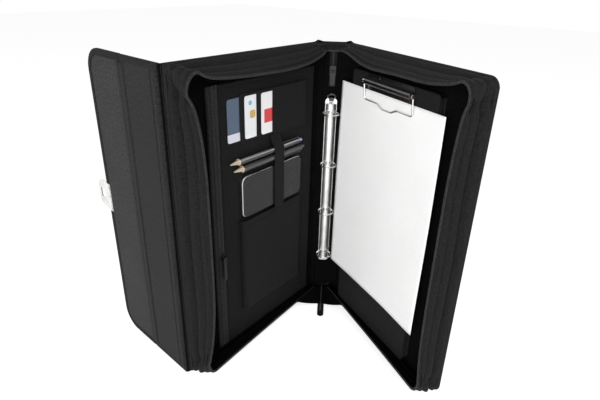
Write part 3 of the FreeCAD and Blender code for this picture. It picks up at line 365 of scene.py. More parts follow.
def panel_planes() -> dict[str, Plane]:
    """Flat frames of the back cover, spine, front cover, strip and flap, from the folds' axes.

    Inwards is a panel's own direction turned a quarter to the right, or to the left where the turn is -1.

    Returns:
        The frames by name.
    """
    back, front, strip, flap = (fold_place(f"{name}_fold") for name in ("back", "front", "strip", "flap"))
    back_way, spine_way, strip_way = np.array([-1.0, 0.0]), unit(front - back), unit(flap - strip)
    front_way = -np.array(JOINTS["bolt_slide"]["axis"][:2])
    panels = {"back": (back, back_way, -1.0, FOLD_R), "spine": (back, spine_way, 1.0, FOLD_R),
              "front": (front, front_way, 1.0, FOLD_R), "strip": (strip, strip_way, -1.0, 0.0),
              "flap": (flap, strip_way, -1.0, 0.0)}
    return {name: Plane(tuple(fold), tuple(way), (turn * way[1], -turn * way[0]), depth)
            for name, (fold, way, turn, depth) in panels.items()}


PLANES = panel_planes()


def spread(low: float, high: float, edge: float, step: float, seams: Sequence[tuple[float, float]] = (),
           near_r: float = 0.0, far_r: float = 0.0) -> Array:
    """Stations from low to high, close together at the ends, in round corners and beside seams.

    Args:
        low: First station.
        high: Last station.
        edge: Width of the rounded edge at each end.
        step: Widest step.
        seams: Middle and half width of each seam.
        near_r: Corner radius at the low end.
        far_r: Corner radius at the high end.
    Returns:
        The stations in order.
    """
    ease = 1 - np.cos(np.linspace(0, math.pi / 2, 6))
    parts = [np.linspace(low, high, max(int((high - low) / step) + 1, 3)), low + edge * ease,
             high - edge * ease]
    turn = 1 - np.cos(np.linspace(0, math.pi / 2, 13))
    if near_r:
        parts.append(low + near_r * turn)
    if far_r:
        parts.append(high - far_r * turn)
    for middle, half in seams:
        parts.append(middle + half * np.linspace(-2.4, 2.4, 9))
    places = np.unique(np.round(np.concatenate(parts), 7))
    places = places[(places >= low) & (places <= high)]
    keep = np.concatenate([[True], np.diff(places) > 0.05 * MM])
    places = places[keep]
    places[-1] = high
    return places


@dataclass
class Slab:
    """Padded or stiff sheet in a panel's frame, with rounded corners and rounded edges."""

    plane: Plane
    s: tuple[float, float]
    z: tuple[float, float]
    back: Depth
    front: Depth
    near_r: float = 0.0
    far_r: float = 0.0
    edge: float = 1.0 * MM
    step: float = 9.0 * MM
    seams_s: Sequence[tuple[float, float]] = ()
    seams_z: Sequence[tuple[float, float]] = ()

    def inside(self, s: Array, z: Array) -> Array:
        """Distance inwards from the outline, which is a box with its near and far corners rounded.

        Args:
            s: Distances along the panel.
            z: Heights.
        Returns:
            The distances, 0 outside.
        """
        middle_s, middle_z = sum(self.s) / 2, sum(self.z) / 2
        half_s, half_z = (self.s[1] - self.s[0]) / 2, (self.z[1] - self.z[0]) / 2
        radius = np.where(s > middle_s, self.far_r, self.near_r)
        over_s = np.abs(s - middle_s) - (half_s - radius)
        over_z = np.abs(z - middle_z) - (half_z - radius)
        outside = np.hypot(np.maximum(over_s, 0), np.maximum(over_z, 0))
        return np.maximum(radius - outside - np.minimum(np.maximum(over_s, over_z), 0), 0)

    def surface(self) -> Surface:
        """Closed surface of two faces that meet along the outline.

        Rows stand at stations along s, and each row's heights run between the outline's two heights there.
        Each face's depth is the depth halfway between the faces, plus its own distance from there times a
        quarter-circle rise over the edge's width.

        Returns:
            The surface.
        """
        s = spread(*self.s, self.edge, self.step, self.seams_s, self.near_r, self.far_r)[:, None]
        z = spread(*self.z, self.edge, self.step, self.seams_z, max(self.near_r, self.far_r),
                   max(self.near_r, self.far_r))[None, :]
        into_far = np.clip((s - self.s[1] + self.far_r) / max(self.far_r, 1e-9), 0, 1)
        into_near = np.clip((self.s[0] + self.near_r - s) / max(self.near_r, 1e-9), 0, 1)
        cut = sum(radius * (1 - np.sqrt(1 - into ** 2))
                  for radius, into in ((self.far_r, into_far), (self.near_r, into_near)))
        share = (z - self.z[0]) / (self.z[1] - self.z[0])
        z = self.z[0] + cut + share * (self.z[1] - self.z[0] - 2 * cut)
        s = np.broadcast_to(s, z.shape)
        inside = self.inside(s, z)
        rise = np.sqrt(1 - (1 - np.clip(inside / self.edge, 0, 1)) ** 2)
        rise[:, [0, -1]] = 0
        rise[[0, -1]] = 0
        front, back = self.front(s, z, inside), self.back(s, z, inside)
        middle = (front + back) / 2
        uv = np.stack([s, z], axis=-1)
        faces = [self.plane.at(s, middle + (face - middle) * rise, z) for face in (front, back)]
        return Surface.grid(faces[0], uv) + Surface.grid(faces[1], uv)

    def rim(self, inset: float, depth: float) -> Array:
        """Path inside the outline, from the near foot round the far end to the near head.

        Args:
            inset: Distance inwards from the outline.
            depth: Depth of the path.
        Returns:
            Its points.
        """
        s1, z0, z1 = self.s[1] - inset, self.z[0] + inset, self.z[1] - inset
        radius = max(self.far_r - inset, 0.5 * MM)
        turn = np.linspace(0, math.pi / 2, 12)
        low_s = np.linspace(self.s[0], s1 - radius, 60)
        up_z = np.linspace(z0 + radius, z1 - radius, 60)
        s = np.concatenate([low_s, s1 - radius + radius * np.sin(turn), np.full(60, s1),
                            s1 - radius + radius * np.cos(turn), low_s[::-1]])
        z = np.concatenate([np.full(60, z0), z0 + radius - radius * np.cos(turn), up_z,
                            z1 - radius + radius * np.sin(turn), np.full(60, z1)])
        points = self.plane.at(s, depth, z)
        moved = np.concatenate([[True], np.linalg.norm(np.diff(points, axis=0), axis=1) > 0.02 * MM])
        return points[moved]


def flat(depth: float) -> Depth:
    """Depth function of a flat face."""
    return lambda s, z, inside: np.full_like(s, depth)


def grooved(depth: float, inset: float, deep: float, wide: float = 0.9 * MM) -> Depth:
    """Depth function of a flat face with a groove of bell section along a seam inside its edge."""
    return lambda s, z, inside: depth - deep * hill(inside, inset, wide)


# Shader maths
Number = Union[float, "Value"]


class Value:
    """Number socket whose arithmetic adds Math nodes."""

    def __init__(self, graph: "Graph", socket: bpy.types.NodeSocket | None) -> None:
        """Wraps a socket of a graph."""
        self.graph = graph
        self.socket = socket

    def math(self, operation: str, *others: Number) -> "Value":
        """Math node of this value and others."""
        return self.graph.add("ShaderNodeMath", {"operation": operation}, dict(enumerate((self,) + others)))

    def __add__(self, other: Number) -> "Value":
        """Sum."""
        return self.math("ADD", other)

    __radd__ = __add__

    def __mul__(self, other: Number) -> "Value":
        """Product."""
        return self.math("MULTIPLY", other)

    __rmul__ = __mul__

    def __sub__(self, other: Number) -> "Value":
        """Difference."""
        return self.math("SUBTRACT", other)

    def __rsub__(self, other: Number) -> "Value":
        """Difference from a number."""
        return self.graph.add("ShaderNodeMath", {"operation": "SUBTRACT"}, {0: other, 1: self})

    def __truediv__(self, other: Number) -> "Value":
        """Quotient."""
        return self.math("DIVIDE", other)

    def __pow__(self, other: Number) -> "Value":
        """Power."""
        return self.math("POWER", other)

    def __gt__(self, other: Number) -> "Value":
        """1 where this is greater, else 0."""
        return self.math("GREATER_THAN", other)

    def __lt__(self, other: Number) -> "Value":
        """1 where this is less, else 0."""
        return self.math("LESS_THAN", other)

    def sin(self) -> "Value":
        """Sine."""
        return self.math("SINE")

    def size(self) -> "Value":
        """Absolute value."""
        return self.math("ABSOLUTE")

    def most(self, other: Number) -> "Value":
        """Greater of the two."""
        return self.math("MAXIMUM", other)

    def eased(self, low: float, high: float) -> "Value":
        """Smooth step from 0 at low to 1 at high."""
        return self.graph.add("ShaderNodeMapRange", {"interpolation_type": "SMOOTHSTEP"},
                              {"Value": self, "From Min": low, "From Max": high})


Input = Union[float, Sequence[float], Value]
Colour = tuple[float, float, float]
WHITE: Colour = (1.0, 1.0, 1.0)


class Graph:
    """Node graph of one material, or of the surroundings."""

    def __init__(self, name: str, world: bool = False) -> None:
        """Starts an empty graph.

        Args:
            name: Name of the material or world.
            world: Whether it is a world's graph.
        """
        self.kind = "World" if world else "Material"
        self.owner = (bpy.data.worlds if world else bpy.data.materials).new(name)
        self.owner.use_nodes = True
        self.tree = self.owner.node_tree
        self.tree.nodes.clear()

    def add(self, kind: str, settings: Mapping, inputs: Mapping[Union[int, str], Input],
            output: Union[int, str] = 0) -> Value:
        """Adds a node.

        Args:
            kind: The node's type.
            settings: Its properties, set first.
            inputs: Values or links of its sockets, by name or number.
            output: Which output is wanted.
        Returns:
            That output; an end node has none.
        """
        node = self.tree.nodes.new(kind)
        for key, value in settings.items():
            setattr(node, key, value)
        for key, value in inputs.items():
            if isinstance(value, Value):
                self.tree.links.new(value.socket, node.inputs[key])
            elif isinstance(value, (int, float)):
                node.inputs[key].default_value = value
            else:
                whole = len(node.inputs[key].default_value)
                node.inputs[key].default_value = (*value, 1.0)[:whole]
        return Value(self, node.outputs[output] if node.outputs else None)

    def place(self, output: str = "Object") -> tuple[Value, Value, Value]:
        """Parts of Object coordinates, or of the UV."""
        point = self.add("ShaderNodeTexCoord", {}, {}, output)
        return tuple(self.add("ShaderNodeSeparateXYZ", {}, {0: point}, axis) for axis in "XYZ")

    def noise(self, scale: float, detail: float, stretch: Sequence[float] = (1, 1, 1),
              source: str = "Object") -> Value:
        """Noise from 0 to 1 on Object coordinates or the UV, with its scale in cells to the metre.

        Args:
            scale: How fine it is.
            detail: Its octaves.
            stretch: Scale along each axis.
            source: Coordinates that it reads.
        Returns:
            A value from 0 to 1.
        """
        point = self.add("ShaderNodeTexCoord", {}, {}, source)
        moved = self.add("ShaderNodeMapping", {}, {"Vector": point, "Scale": stretch})
        return self.add("ShaderNodeTexNoise", {}, {"Vector": moved, "Scale": scale, "Detail": detail}, 0)

    def mix(self, share: Input, first: Union[Colour, Value], second: Union[Colour, Value]) -> Value:
        """Colour between two colours."""
        return self.add("ShaderNodeMix", {"data_type": "RGBA"}, {0: share, 6: first, 7: second}, 2)

    def bump(self, height: Value, strength: float, distance: float) -> Value:
        """Normal of a height."""
        sockets = {"Strength": strength, "Distance": distance, "Height": height}
        return self.add("ShaderNodeBump", {}, sockets)

    def seen(self) -> Value:
        """1 for what the camera, a gloss or a glass sees, and 0 for light on its way to other surfaces."""
        rays = [self.add("ShaderNodeLightPath", {}, {}, f"Is {ray} Ray")
                for ray in ("Camera", "Glossy", "Transmission")]
        return rays[0].most(rays[1]).most(rays[2])

    def end(self, shader: Value) -> Union[bpy.types.Material, bpy.types.World]:
        """Ends the graph in a shader, and gives the material or world."""
        self.add(f"ShaderNodeOutput{self.kind}", {}, {"Surface": shader})
        return self.owner

    def finish(self, inputs: Mapping[str, Input]) -> bpy.types.Material:
        """Ends the material in one Principled shader with the given sockets."""
        return self.end(self.add("ShaderNodeBsdfPrincipled", {}, inputs))


# Finishes
class Weave(Enum):
    """How a cloth's threads cross."""

    PLAIN = "plain"
    TWILL = "twill"
    RIB = "rib"


@dataclass(frozen=True)
class Finish:
    """Named finish with the record's slot that it belongs to."""

    name: str
    slot: str

    def material(self) -> bpy.types.Material:
        """The finish's material, made once."""
        return bpy.data.materials.get(self.name) or self.made()

    def made(self) -> bpy.types.Material:
        """Makes the material."""
        raise NotImplementedError


@dataclass(frozen=True)
class Cloth(Finish):
    """Woven black cloth: threads from sines of the UV, slubs along the yarn, cloudy dye and a faint sheen."""

    colour: Colour = (0.016, 0.016, 0.0165)
    thread: float = 1.1 * MM
    weave: Weave = Weave.PLAIN
    contrast: float = 0.5
    roughness: float = 0.8
    sheen: float = 0.02
    gloss: float = 0.14

    def threads(self, graph: Graph) -> Value:
        """Height of the weave from -1 to 1.

        Args:
            graph: Graph that the nodes go into.
        Returns:
            The height.
        """
        u, v, _ = graph.place("UV")
        turn = 2 * math.pi / self.thread
        if self.weave is Weave.PLAIN:
            return (u * turn).sin() * (v * turn).sin()
        if self.weave is Weave.TWILL:
            return ((u + v * 0.6) * turn).sin() * 0.7 + (v * (turn * 2)).sin() * 0.3
        return (u * turn).sin() * 0.75 + (v * (turn * 0.35)).sin() * 0.25

    def made(self) -> bpy.types.Material:
        """Threads and slubs lighten the dye and lift the bump, and a slow noise clouds dye and roughness.

        Returns:
            The material.
        """
        graph = Graph(self.name)
        threads = self.threads(graph)
        cloud = graph.noise(26.0, 4.0)
        slub = graph.noise(760.0, 2.0, (1.0, 0.35, 1.0), "UV")
        grain = graph.noise(460.0, 3.0, source="UV")
        light = (threads * (0.4 * self.contrast) + (slub - 0.5) * 0.9 + (grain - 0.5) * 2.0
                 + (cloud - 0.5) * 0.5)
        dark = tuple(0.42 * c for c in self.colour)
        pale = tuple(1.75 * c for c in self.colour)
        return graph.finish({
            "Base Color": graph.mix((light + 0.5).eased(-0.1, 1.1), dark, pale),
            "Roughness": (cloud - 0.5) * 0.16 + self.roughness,
            "Specular IOR Level": self.gloss,
            "Sheen Weight": self.sheen,
            "Sheen Roughness": 0.45,
            "Sheen Tint": (0.6, 0.6, 0.62),
            "Normal": graph.bump(threads * 0.6 + slub * 0.6 + grain, 0.6, 0.35 * MM),
        })


@dataclass(frozen=True)
class Metal(Finish):
    """Plated or lacquered metal with fine rubbing marks."""

    colour: Colour = (0.80, 0.79, 0.77)
    roughness: float = 0.24
    metallic: float = 1.0
    gloss: float = 0.5
    stretch: tuple[float, float, float] = (1.0, 1.0, 0.08)

    def made(self) -> bpy.types.Material:
        """A stretched noise rubs the polish and a slow one dulls the colour a little.

        Returns:
            The material.
        """
        graph = Graph(self.name)
        rub = graph.noise(2600.0, 3.0, self.stretch)
        dull = graph.noise(70.0, 3.0)
        worn = tuple(0.78 * c for c in self.colour)
        return graph.finish({
            "Base Color": graph.mix(dull.eased(0.35, 0.75), self.colour, worn),
            "Roughness": rub * 0.14 + dull * 0.08 + (self.roughness - 0.1),
            "Metallic": self.metallic,
            "Specular IOR Level": self.gloss,
            "Normal": graph.bump(rub, 0.10, 0.05 * MM),
        })


@dataclass(frozen=True)
class Paper(Finish):
    """White writing paper with faint fibres."""

    colour: Colour = (0.91, 0.91, 0.905)

    def made(self) -> bpy.types.Material:
        """Two noises of fibre size tint the sheet and roughen it.

        Returns:
            The material.
        """
        graph = Graph(self.name)
        fibre = graph.noise(700.0, 4.0, (1.0, 1.0, 0.4))
        cloud = graph.noise(18.0, 3.0)
        shade = tuple(0.94 * c for c in self.colour)
        return graph.finish({
            "Base Color": graph.mix((fibre * 0.6 + cloud * 0.4).eased(0.3, 0.75), self.colour, shade),
            "Roughness": fibre * 0.12 + 0.66,
            "Specular IOR Level": 0.35,
            "Normal": graph.bump(fibre, 0.14, 0.1 * MM),
        })


class CardMark(Enum):
    """What a card carries on the part that shows."""

    BAND = "band"
    SPOT_AND_PAD = "spot and contact pad"
    BLOCK = "block"


@dataclass(frozen=True)
class CardFace(Finish):
    """Plain plastic card: a ground colour and one generic mark of another colour."""

    ground: Colour = (0.8, 0.8, 0.8)
    ink: Colour = (0.5, 0.5, 0.5)
    mark: CardMark = CardMark.BAND
    edge_s: float = 0.0
    foot_z: float = 0.0
    height: float = 0.054
    band_top: float = 0.2
    block_z: tuple[float, float] = (0.27, 0.6)
    block_in: float = 5.0 * MM
    spot: tuple[float, float] = (9.5 * MM, 0.83)
    spot_r: float = 3.0 * MM
    pad: tuple[float, float] = (13.5 * MM, 0.56)
    pad_r: float = 5.0 * MM

    def disc(self, along: Value, up: Value, centre: tuple[float, float],
             radius: float, power: float) -> Value:
        """1 inside a rounded spot; a power of 2 gives a disc, and more squares it."""
        near, high = (along - centre[0]).size() / radius, (up - centre[1]).size() * (self.height / radius)
        return (near ** power + high ** power) < 1.0

    def made(self) -> bpy.types.Material:
        """Marks are shapes in the card's own height and distance from its free edge.

        Returns:
            The material.
        """
        graph = Graph(self.name)
        x, _, z = graph.place()
        up = (z - self.foot_z) / self.height
        along = x - (PLANES["back"].fold[0] - self.edge_s)
        grain = graph.noise(1800.0, 2.0)
        if self.mark is CardMark.BAND:
            colour = graph.mix(up < self.band_top, self.ground, self.ink)
        elif self.mark is CardMark.BLOCK:
            inside = (up > self.block_z[0]) * (up < self.block_z[1]) * (along > self.block_in)
            colour = graph.mix(inside, self.ground, self.ink)
        else:
            colour = graph.mix(self.disc(along, up, self.spot, self.spot_r, 2.0), self.ground, self.ink)
            gold = graph.mix(((up * 60.0).sin().size() < 0.2), (0.66, 0.42, 0.12), (0.3, 0.18, 0.05))
            colour = graph.mix(self.disc(along, up, self.pad, self.pad_r, 4.0), colour, gold)
        return graph.finish({
            "Base Color": graph.mix(grain * 0.06, colour, (0.02, 0.02, 0.02)),
            "Roughness": grain * 0.1 + 0.26,
            "Coat Weight": 0.3,
            "Normal": graph.bump(grain, 0.05, 0.05 * MM),
        })


@dataclass(frozen=True)
class PenBody(Finish):
    """Pen: polished or plastic barrel, brass tip, coloured push end and a painted highlight along the barrel."""

    barrel: Colour = (0.05, 0.05, 0.05)
    button: Colour = (0.05, 0.06, 0.25)
    metallic: float = 0.0
    tip_x: float = 0.0
    tip_len: float = 14.2 * MM
    button_x: float = 0.0
    # Height and strength of the painted highlight band along the barrel
    band_z: float = 0.0
    band: float = 0.0

    def made(self) -> bpy.types.Material:
        """Brass, barrel or push end by the distance from the tip, and a painted highlight: a pale band along the
        barrel.

        Returns:
            The material.
        """
        graph = Graph(self.name)
        x, _, z = graph.place()
        tip = (x - self.tip_x) < self.tip_len
        # Painted highlight: a pale grey band across the barrel's height, mixed into its colour below
        band = (1.0 - ((z - self.band_z).size() / (1.6 * MM)).eased(0.0, 1.0)) * self.band
        end = x > self.button_x
        grain = graph.noise(900.0, 2.0, (0.05, 1.0, 1.0))
        colour = graph.mix(end, graph.mix(band, self.barrel, (0.55, 0.55, 0.56)), self.button)
        return graph.finish({
            "Base Color": graph.mix(tip, colour, (0.66, 0.55, 0.40)),
            "Metallic": (1.0 - end) * (1.0 - tip) * (0.8 * self.metallic) + tip * 0.3,
            "Roughness": grain * 0.1 + 0.1,
            "Coat Weight": 0.25,
            "Normal": graph.bump(grain, 0.06, 0.05 * MM),
        })


@dataclass(frozen=True)
class PhoneGlass(Finish):
    """Phone: dark glass front inside a bright metal rim."""

    middle: tuple[float, float] = (0.0, 0.0)
    half: tuple[float, float] = (0.06, 0.03)
    corner: float = 0.009
    rim: float = 0.75 * MM

    def made(self) -> bpy.types.Material:
        """The distance in from the rounded outline, in x and z, parts glass from rim.

        Returns:
            The material.
        """
        graph = Graph(self.name)
        x, _, z = graph.place()
        over_x = ((x - self.middle[0]).size() - (self.half[0] - self.corner)).most(0.0)
        over_z = ((z - self.middle[1]).size() - (self.half[1] - self.corner)).most(0.0)
        out = (over_x * over_x + over_z * over_z) ** 0.5
        metal = out > (self.corner - self.rim)
        smear = graph.noise(45.0, 4.0)
        return graph.finish({
            "Base Color": graph.mix(metal, (0.017, 0.017, 0.018), (0.46, 0.46, 0.47)),
            "Metallic": metal,
            "Roughness": smear * 0.22 + 0.14,
            "Specular IOR Level": 0.3,
        })


OUTER = Cloth("outer_cloth", "outer_fabric", colour=(0.0088, 0.0088, 0.0091), contrast=0.6)
# Outer fabric made about three times paler for the flap: painted light, as the flap faces the lamp
FLAP_LINING_PAINTED_LIGHT = Cloth("flap_lining_cloth", "outer_fabric", colour=(0.0285, 0.0285, 0.0291), contrast=0.6)
# Outer fabric made paler for the strip and the flap fold's inside: painted light where they face the lamp
STRIP_LINING_PAINTED_LIGHT = Cloth("strip_lining_cloth", "outer_fabric", colour=(0.0158, 0.0158, 0.0162), contrast=0.6)
# Outer fabric made paler for the padded roll: painted light on the rounded band beside the cover
ROLL_PAINTED_LIGHT = Cloth("strip_roll_cloth", "outer_fabric", colour=(0.0135, 0.0135, 0.0139), contrast=0.6)
BINDING = Cloth("edge_binding", "outer_fabric", colour=(0.0105, 0.0105, 0.0108),
                thread=0.8 * MM, weave=Weave.RIB)
THREAD = Cloth("sewing_thread", "outer_fabric", colour=(0.011, 0.011, 0.0113),
               thread=0.4 * MM, weave=Weave.TWILL)
LINING = Cloth("inner_lining", "lining", colour=(0.0035, 0.0035, 0.0036), thread=0.7 * MM, contrast=0.3,
               sheen=0.0, gloss=0.02)
GUSSET = Cloth("gusset_cloth", "gusset_fabric", colour=(0.0082, 0.0082, 0.0085),
               thread=0.8 * MM, contrast=0.4)
PANEL = Cloth("panel_cloth", "panel_fabric", colour=(0.007, 0.007, 0.0073), thread=0.8 * MM, contrast=0.4)
# Panel fabric made paler for the organiser margin: painted light against the shade of the gusset wall
MARGIN_PAINTED_LIGHT = Cloth("margin_cloth", "panel_fabric", colour=(0.019, 0.019, 0.0195), thread=0.8 * MM, contrast=0.4)
ELASTIC = Cloth("ribbed_elastic", "elastic", colour=(0.007, 0.007, 0.0073), thread=1.5 * MM, weave=Weave.RIB)
# Zip tape made paler than the tails: a painted highlight along the rolled lips' edges
ZIP_TAPE_PAINTED_HIGHLIGHT = Cloth("zip_tape_cloth", "zip_tape", colour=(0.028, 0.028, 0.0287),
                 thread=1.3 * MM, weave=Weave.TWILL)
TAIL = Cloth("zip_tail_cloth", "zip_tape", colour=(0.0075, 0.0075, 0.0078),
             thread=1.3 * MM, weave=Weave.TWILL)
TEETH = Metal("zip_teeth", "zip_tape", colour=(0.016, 0.016, 0.017), roughness=0.42, metallic=0.0)
NICKEL = Metal("nickel_plate", "nickel")
# Nickel darkened for the clip's plate and rivets: a painted reflection of the dark cloth round them
CLIP_PLATE_DARK_REFLECTION = Metal("clip_plate_nickel", "nickel", colour=(0.15, 0.15, 0.15), roughness=0.3)
# Nickel darkened for the ring lever and its pin: a painted darker reflection than the white surroundings give
LEVER_DARK_REFLECTION = Metal("lever_nickel", "nickel", colour=(0.3, 0.3, 0.3), roughness=0.26)
PLATE = Metal("ring_plate_nickel", "nickel", colour=(0.78, 0.78, 0.77), roughness=0.46)
STEEL = Metal("spring_wire", "spring_steel", colour=(0.52, 0.52, 0.52), roughness=0.3)
LACQUER = Metal("black_lacquer", "zip_metal", (0.016, 0.016, 0.017), 0.34, 0.0, 0.22)
PAPER = Paper("writing_paper", "paper")


# Pieces and what they ride on
@dataclass(frozen=True)
class Bend:
    """Fold that a cloth crosses: the body before the start, the body after the end, and those two places."""

    first: str
    second: str
    start: Array
    end: Array


def piece(name: str, surface: Surface, finish: Finish, rides: Union[str, Bend],
          stands_for: Sequence[str] = (), thickness: float = 0.0,
          sharp_deg: float = 40.0) -> bpy.types.Object:
    """Makes a finished piece of the folder.

    Args:
        name: The piece's name.
        surface: Its shape.
        finish: Its finish.
        rides: The body that it moves with, or the fold that it bends over.
        stands_for: CAD nodes that it replaces.
        thickness: Cloth thickness given to an open surface.
        sharp_deg: Edges turning more than this stay crisp.
    Returns:
        The object.
    """
    made = bpy.data.objects.new(name, surface.mesh(name, sharp_deg))
    bpy.context.scene.collection.objects.link(made)
    made.data.materials.append(finish.material())
    if thickness:
        solid = made.modifiers.new("thickness", "SOLIDIFY")
        solid.thickness = thickness
        solid.offset = 0.0
    if isinstance(rides, Bend):
        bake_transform(made)
    else:
        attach(made, rides)
    if stands_for:
        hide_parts(*stands_for)
    LOG.info("%s: %d faces", name, len(made.data.polygons))
    return made


STITCH = 3.4 * MM
SEAM_HALF = 0.8 * MM


def stitch_row(path: Array, facing: Array, pitch: float = STITCH) -> Surface:
    """Row of thread beads lying along a path."""
    return beads(path, facing, pitch, (0.78 * pitch, 0.34 * MM, 0.3 * MM), lift=0.08 * MM)


def straight(plane: Plane, start: Sequence[float], end: Sequence[float], count: int = 40) -> Array:
    """Straight path between two places of a panel."""
    share = np.linspace(0, 1, count)
    return plane.at(*(a + (b - a) * share for a, b in zip(start, end)))


def sewn_line(plane: Plane, start: Sequence[float], end: Sequence[float], pitch: float = STITCH) -> Surface:
    """Row of stitches on a panel's inner side, between two of its places."""
    return stitch_row(straight(plane, start, end), plane.face, pitch)


def curve(t: Array, *points: Array) -> Array:
    """Bezier curve: the sum of its control points, each times its Bernstein weight at t."""
    last = len(points) - 1
    return sum(math.comb(last, i) * t ** i * (1 - t) ** (last - i) * point for i, point in enumerate(points))


# Stations round a cover: how many stand on each of five sides, each one's side, and its share along that side
STATIONS = (44, 22, 60, 22, 44)
SIDES = np.repeat(np.arange(5), STATIONS)
SHARES = np.concatenate([np.linspace(0, 1, count, endpoint=i == 4) for i, count in enumerate(STATIONS)])
# Free edges along the covers' heads: share of the way, and drop in millimetres
BACK_HEAD_LINE = ((0.05, 12.1), (0.3, 23.7), (0.55, 23.0), (0.8, 19.3), (1.0, 11.1))
FRONT_HEAD_LINE = ((0.05, 9.2), (0.2, 14.6), (0.35, 19.6), (0.5, 18.4), (0.7, 16.8), (0.85, 14.4), (1.0, 7.3))


@dataclass
class Cover:
    """Stiff cover: a padded shell with a sewn edge, its zip gusset and the zip on the gusset's edge."""

    side: str
    fore_lean: float
    corner: float
    sewn_round: float
    plane: Plane = field(init=False)
    body: str = field(init=False)
    shell: Slab = field(init=False)
    width: float = field(init=False)
    height: float = field(init=False)
    thick: float = field(init=False)
    edge: float = 2.2 * MM
    seam_in: float = 7.0 * MM
    seam_deep: float = 0.45 * MM
    seam_wide: float = 0.9 * MM
    puff: float = 0.15 * MM
    lining_in: float = 2.5 * MM
    piping: tuple[float, float] = (2.4 * MM, 2.0 * MM)
    wedge_deg: float = 3.2
    wall_start: float = 14.0 * MM
    wall_inset: float = 1.5 * MM
    free_round: float = 18.0 * MM
    head_line: Sequence[tuple[float, float]] = BACK_HEAD_LINE
    foot_rise: tuple[float, float] = (12.5 * MM, 11.0 * MM)
    corner_lean: float = 4.5 * MM
    zip_below: float = 2.2 * MM
    lip_below: float = 1.2 * MM
    lip: tuple[float, float] = (1.8 * MM, 2.8 * MM)
    tooth: tuple[float, float, float] = (1.1 * MM, 0.6 * MM, 0.55 * MM)
    tooth_pitch: float = 2.0 * MM
    ground_gap: float = 0.9 * MM
    fold_deep: float = 3.0 * MM
    side_depths: Sequence[float] = (0.6, 0.6, 1.0, 0.6, 0.3)
    wander: Sequence[tuple[float, float, float]] = ((0.03, 14.0, 0.6), (0.018, 31.0, 0.0))
    folds: Sequence[tuple[float, float, float]] = ((0.12, 0.08, 0.7), (0.31, 0.075, -1.5), (0.5, 0.1, 0.5),
                                                   (0.68, 0.045, -0.7), (0.83, 0.08, 0.45))
    ridge_high: float = 3.2 * MM
    ridge_reach: float = 16.0 * MM
    ridge_wide: float = 0.22
    hollow_wide: float = 0.55
    hollow_sides: tuple[float, float] = (0.6, 1.5)
    pinch: float = 5.0 * MM
    pinch_reach: float = 13.0 * MM
    groove_share: float = 0.87

    def __post_init__(self) -> None:
        """Takes the cover's sizes from the frame."""
        self.plane = PLANES[self.side]
        self.body = f"{self.side}_cover"
        rim = PLANES["front"].extent("front_skin")
        self.width, self.height = rim.s1, rim.z1
        self.thick = self.plane.extent(f"{self.side}_lining").n1
        self.shell = Slab(self.plane, (rim.s0, self.width), (0.0, self.height), self.outer_face,
                          flat(self.thick), far_r=self.corner, edge=self.edge,
                          seams_s=[(s, SEAM_HALF) for s in (self.width - self.seam_in, 2 * self.seam_in)],
                          seams_z=[(z, SEAM_HALF) for z in (self.seam_in, self.height - self.seam_in)])

    def outer_face(self, s: Array, z: Array, inside: Array) -> Array:
        """Outer face, drawn in along the sewn seam round the edge and a second one by the fold."""
        seam = hill(inside, self.seam_in, self.seam_wide) * (s > 3 * self.seam_in)
        return self.seam_deep * (seam + hill(s, 2 * self.seam_in, self.seam_wide)) - self.puff

    def zip_depth(self, s: Array) -> Array:
        """Depth of the zip's meeting plane: it climbs from the middle of the spine by the closing wedge."""
        wedge, half = math.radians(self.wedge_deg), SPINE_SPAN / 2
        return FOLD_R + half * math.cos(wedge) + (s + half * math.sin(wedge)) * math.tan(wedge)

    def around(self, radius: float, head: float, foot: float, fore: float) -> tuple[list[Array], list[Array]]:
        """Line round the cover in five sides: straight runs joined by quarter ellipses.

        Args:
            radius: Size of its corners.
            head: Height of its upper run.
            foot: Height of its lower run.
            fore: Place of its fore side.
        Returns:
            Distances and heights of each side, at every station.
        """
        t = SHARES
        round_s, turn = self.width - radius, t * math.pi / 2
        run = self.wall_start + (round_s - self.wall_start) * t
        wide = fore - round_s
        s = [run, round_s + wide * np.sin(turn), np.full_like(t, fore), round_s + wide * np.cos(turn),
             round_s + self.wall_start - run]
        z = [np.full_like(t, head), head - radius * (1 - np.cos(turn)),
             head - radius - (head - foot - 2 * radius) * t, foot + radius * (1 - np.sin(turn)),
             np.full_like(t, foot)]
        return s, z

    def joined(self, *lines: Sequence[Array]) -> tuple[Array, ...]:
        """Takes each station's value from its own side."""
        return tuple(np.select([SIDES == i for i in range(5)], line) for line in lines)

    def sewn_edge(self) -> tuple[Array, Array]:
        """Gusset's edge on the cover, an inset inside the outline."""
        inset = self.wall_inset
        return self.joined(*self.around(self.sewn_round, self.height - inset, inset, self.width - inset))

    def free_edge(self) -> tuple[Array, Array]:
        """Gusset's free edge, which sags between the corners.

        Along the head it is the polynomial through the head line's shares and drops, down the fore side a
        fourth power and along the foot a parabola. A bell at the head corner draws the edge outwards, as the
        pinched cloth stands there.

        Returns:
            Distances along the cover, and heights.
        """
        shares, drops = np.array(self.head_line).T
        rise, low = self.foot_rise
        s, z = self.around(self.free_round, self.height - drops[-1] * MM, low, self.width - self.corner_lean)
        round_s = self.width - self.free_round
        drop = np.polyval(np.polyfit(shares, drops, len(drops) - 1), s[0] / round_s) * MM
        z[0] = self.height - drop
        s[2] = s[2] - (self.fore_lean - self.corner_lean) * (1 - (2 * SHARES - 1) ** 4)
        z[4] = z[4] + (rise - low) * (1 - (2 * s[4] / round_s - 1) ** 2)
        s, z = self.joined(s, z)
        run, corners = self.corner_runs()
        ear = self.pinch * hill(run, corners[0], self.pinch_reach)
        out_s, out_z = self.outwards()
        return s + out_s * ear, z + out_z * ear

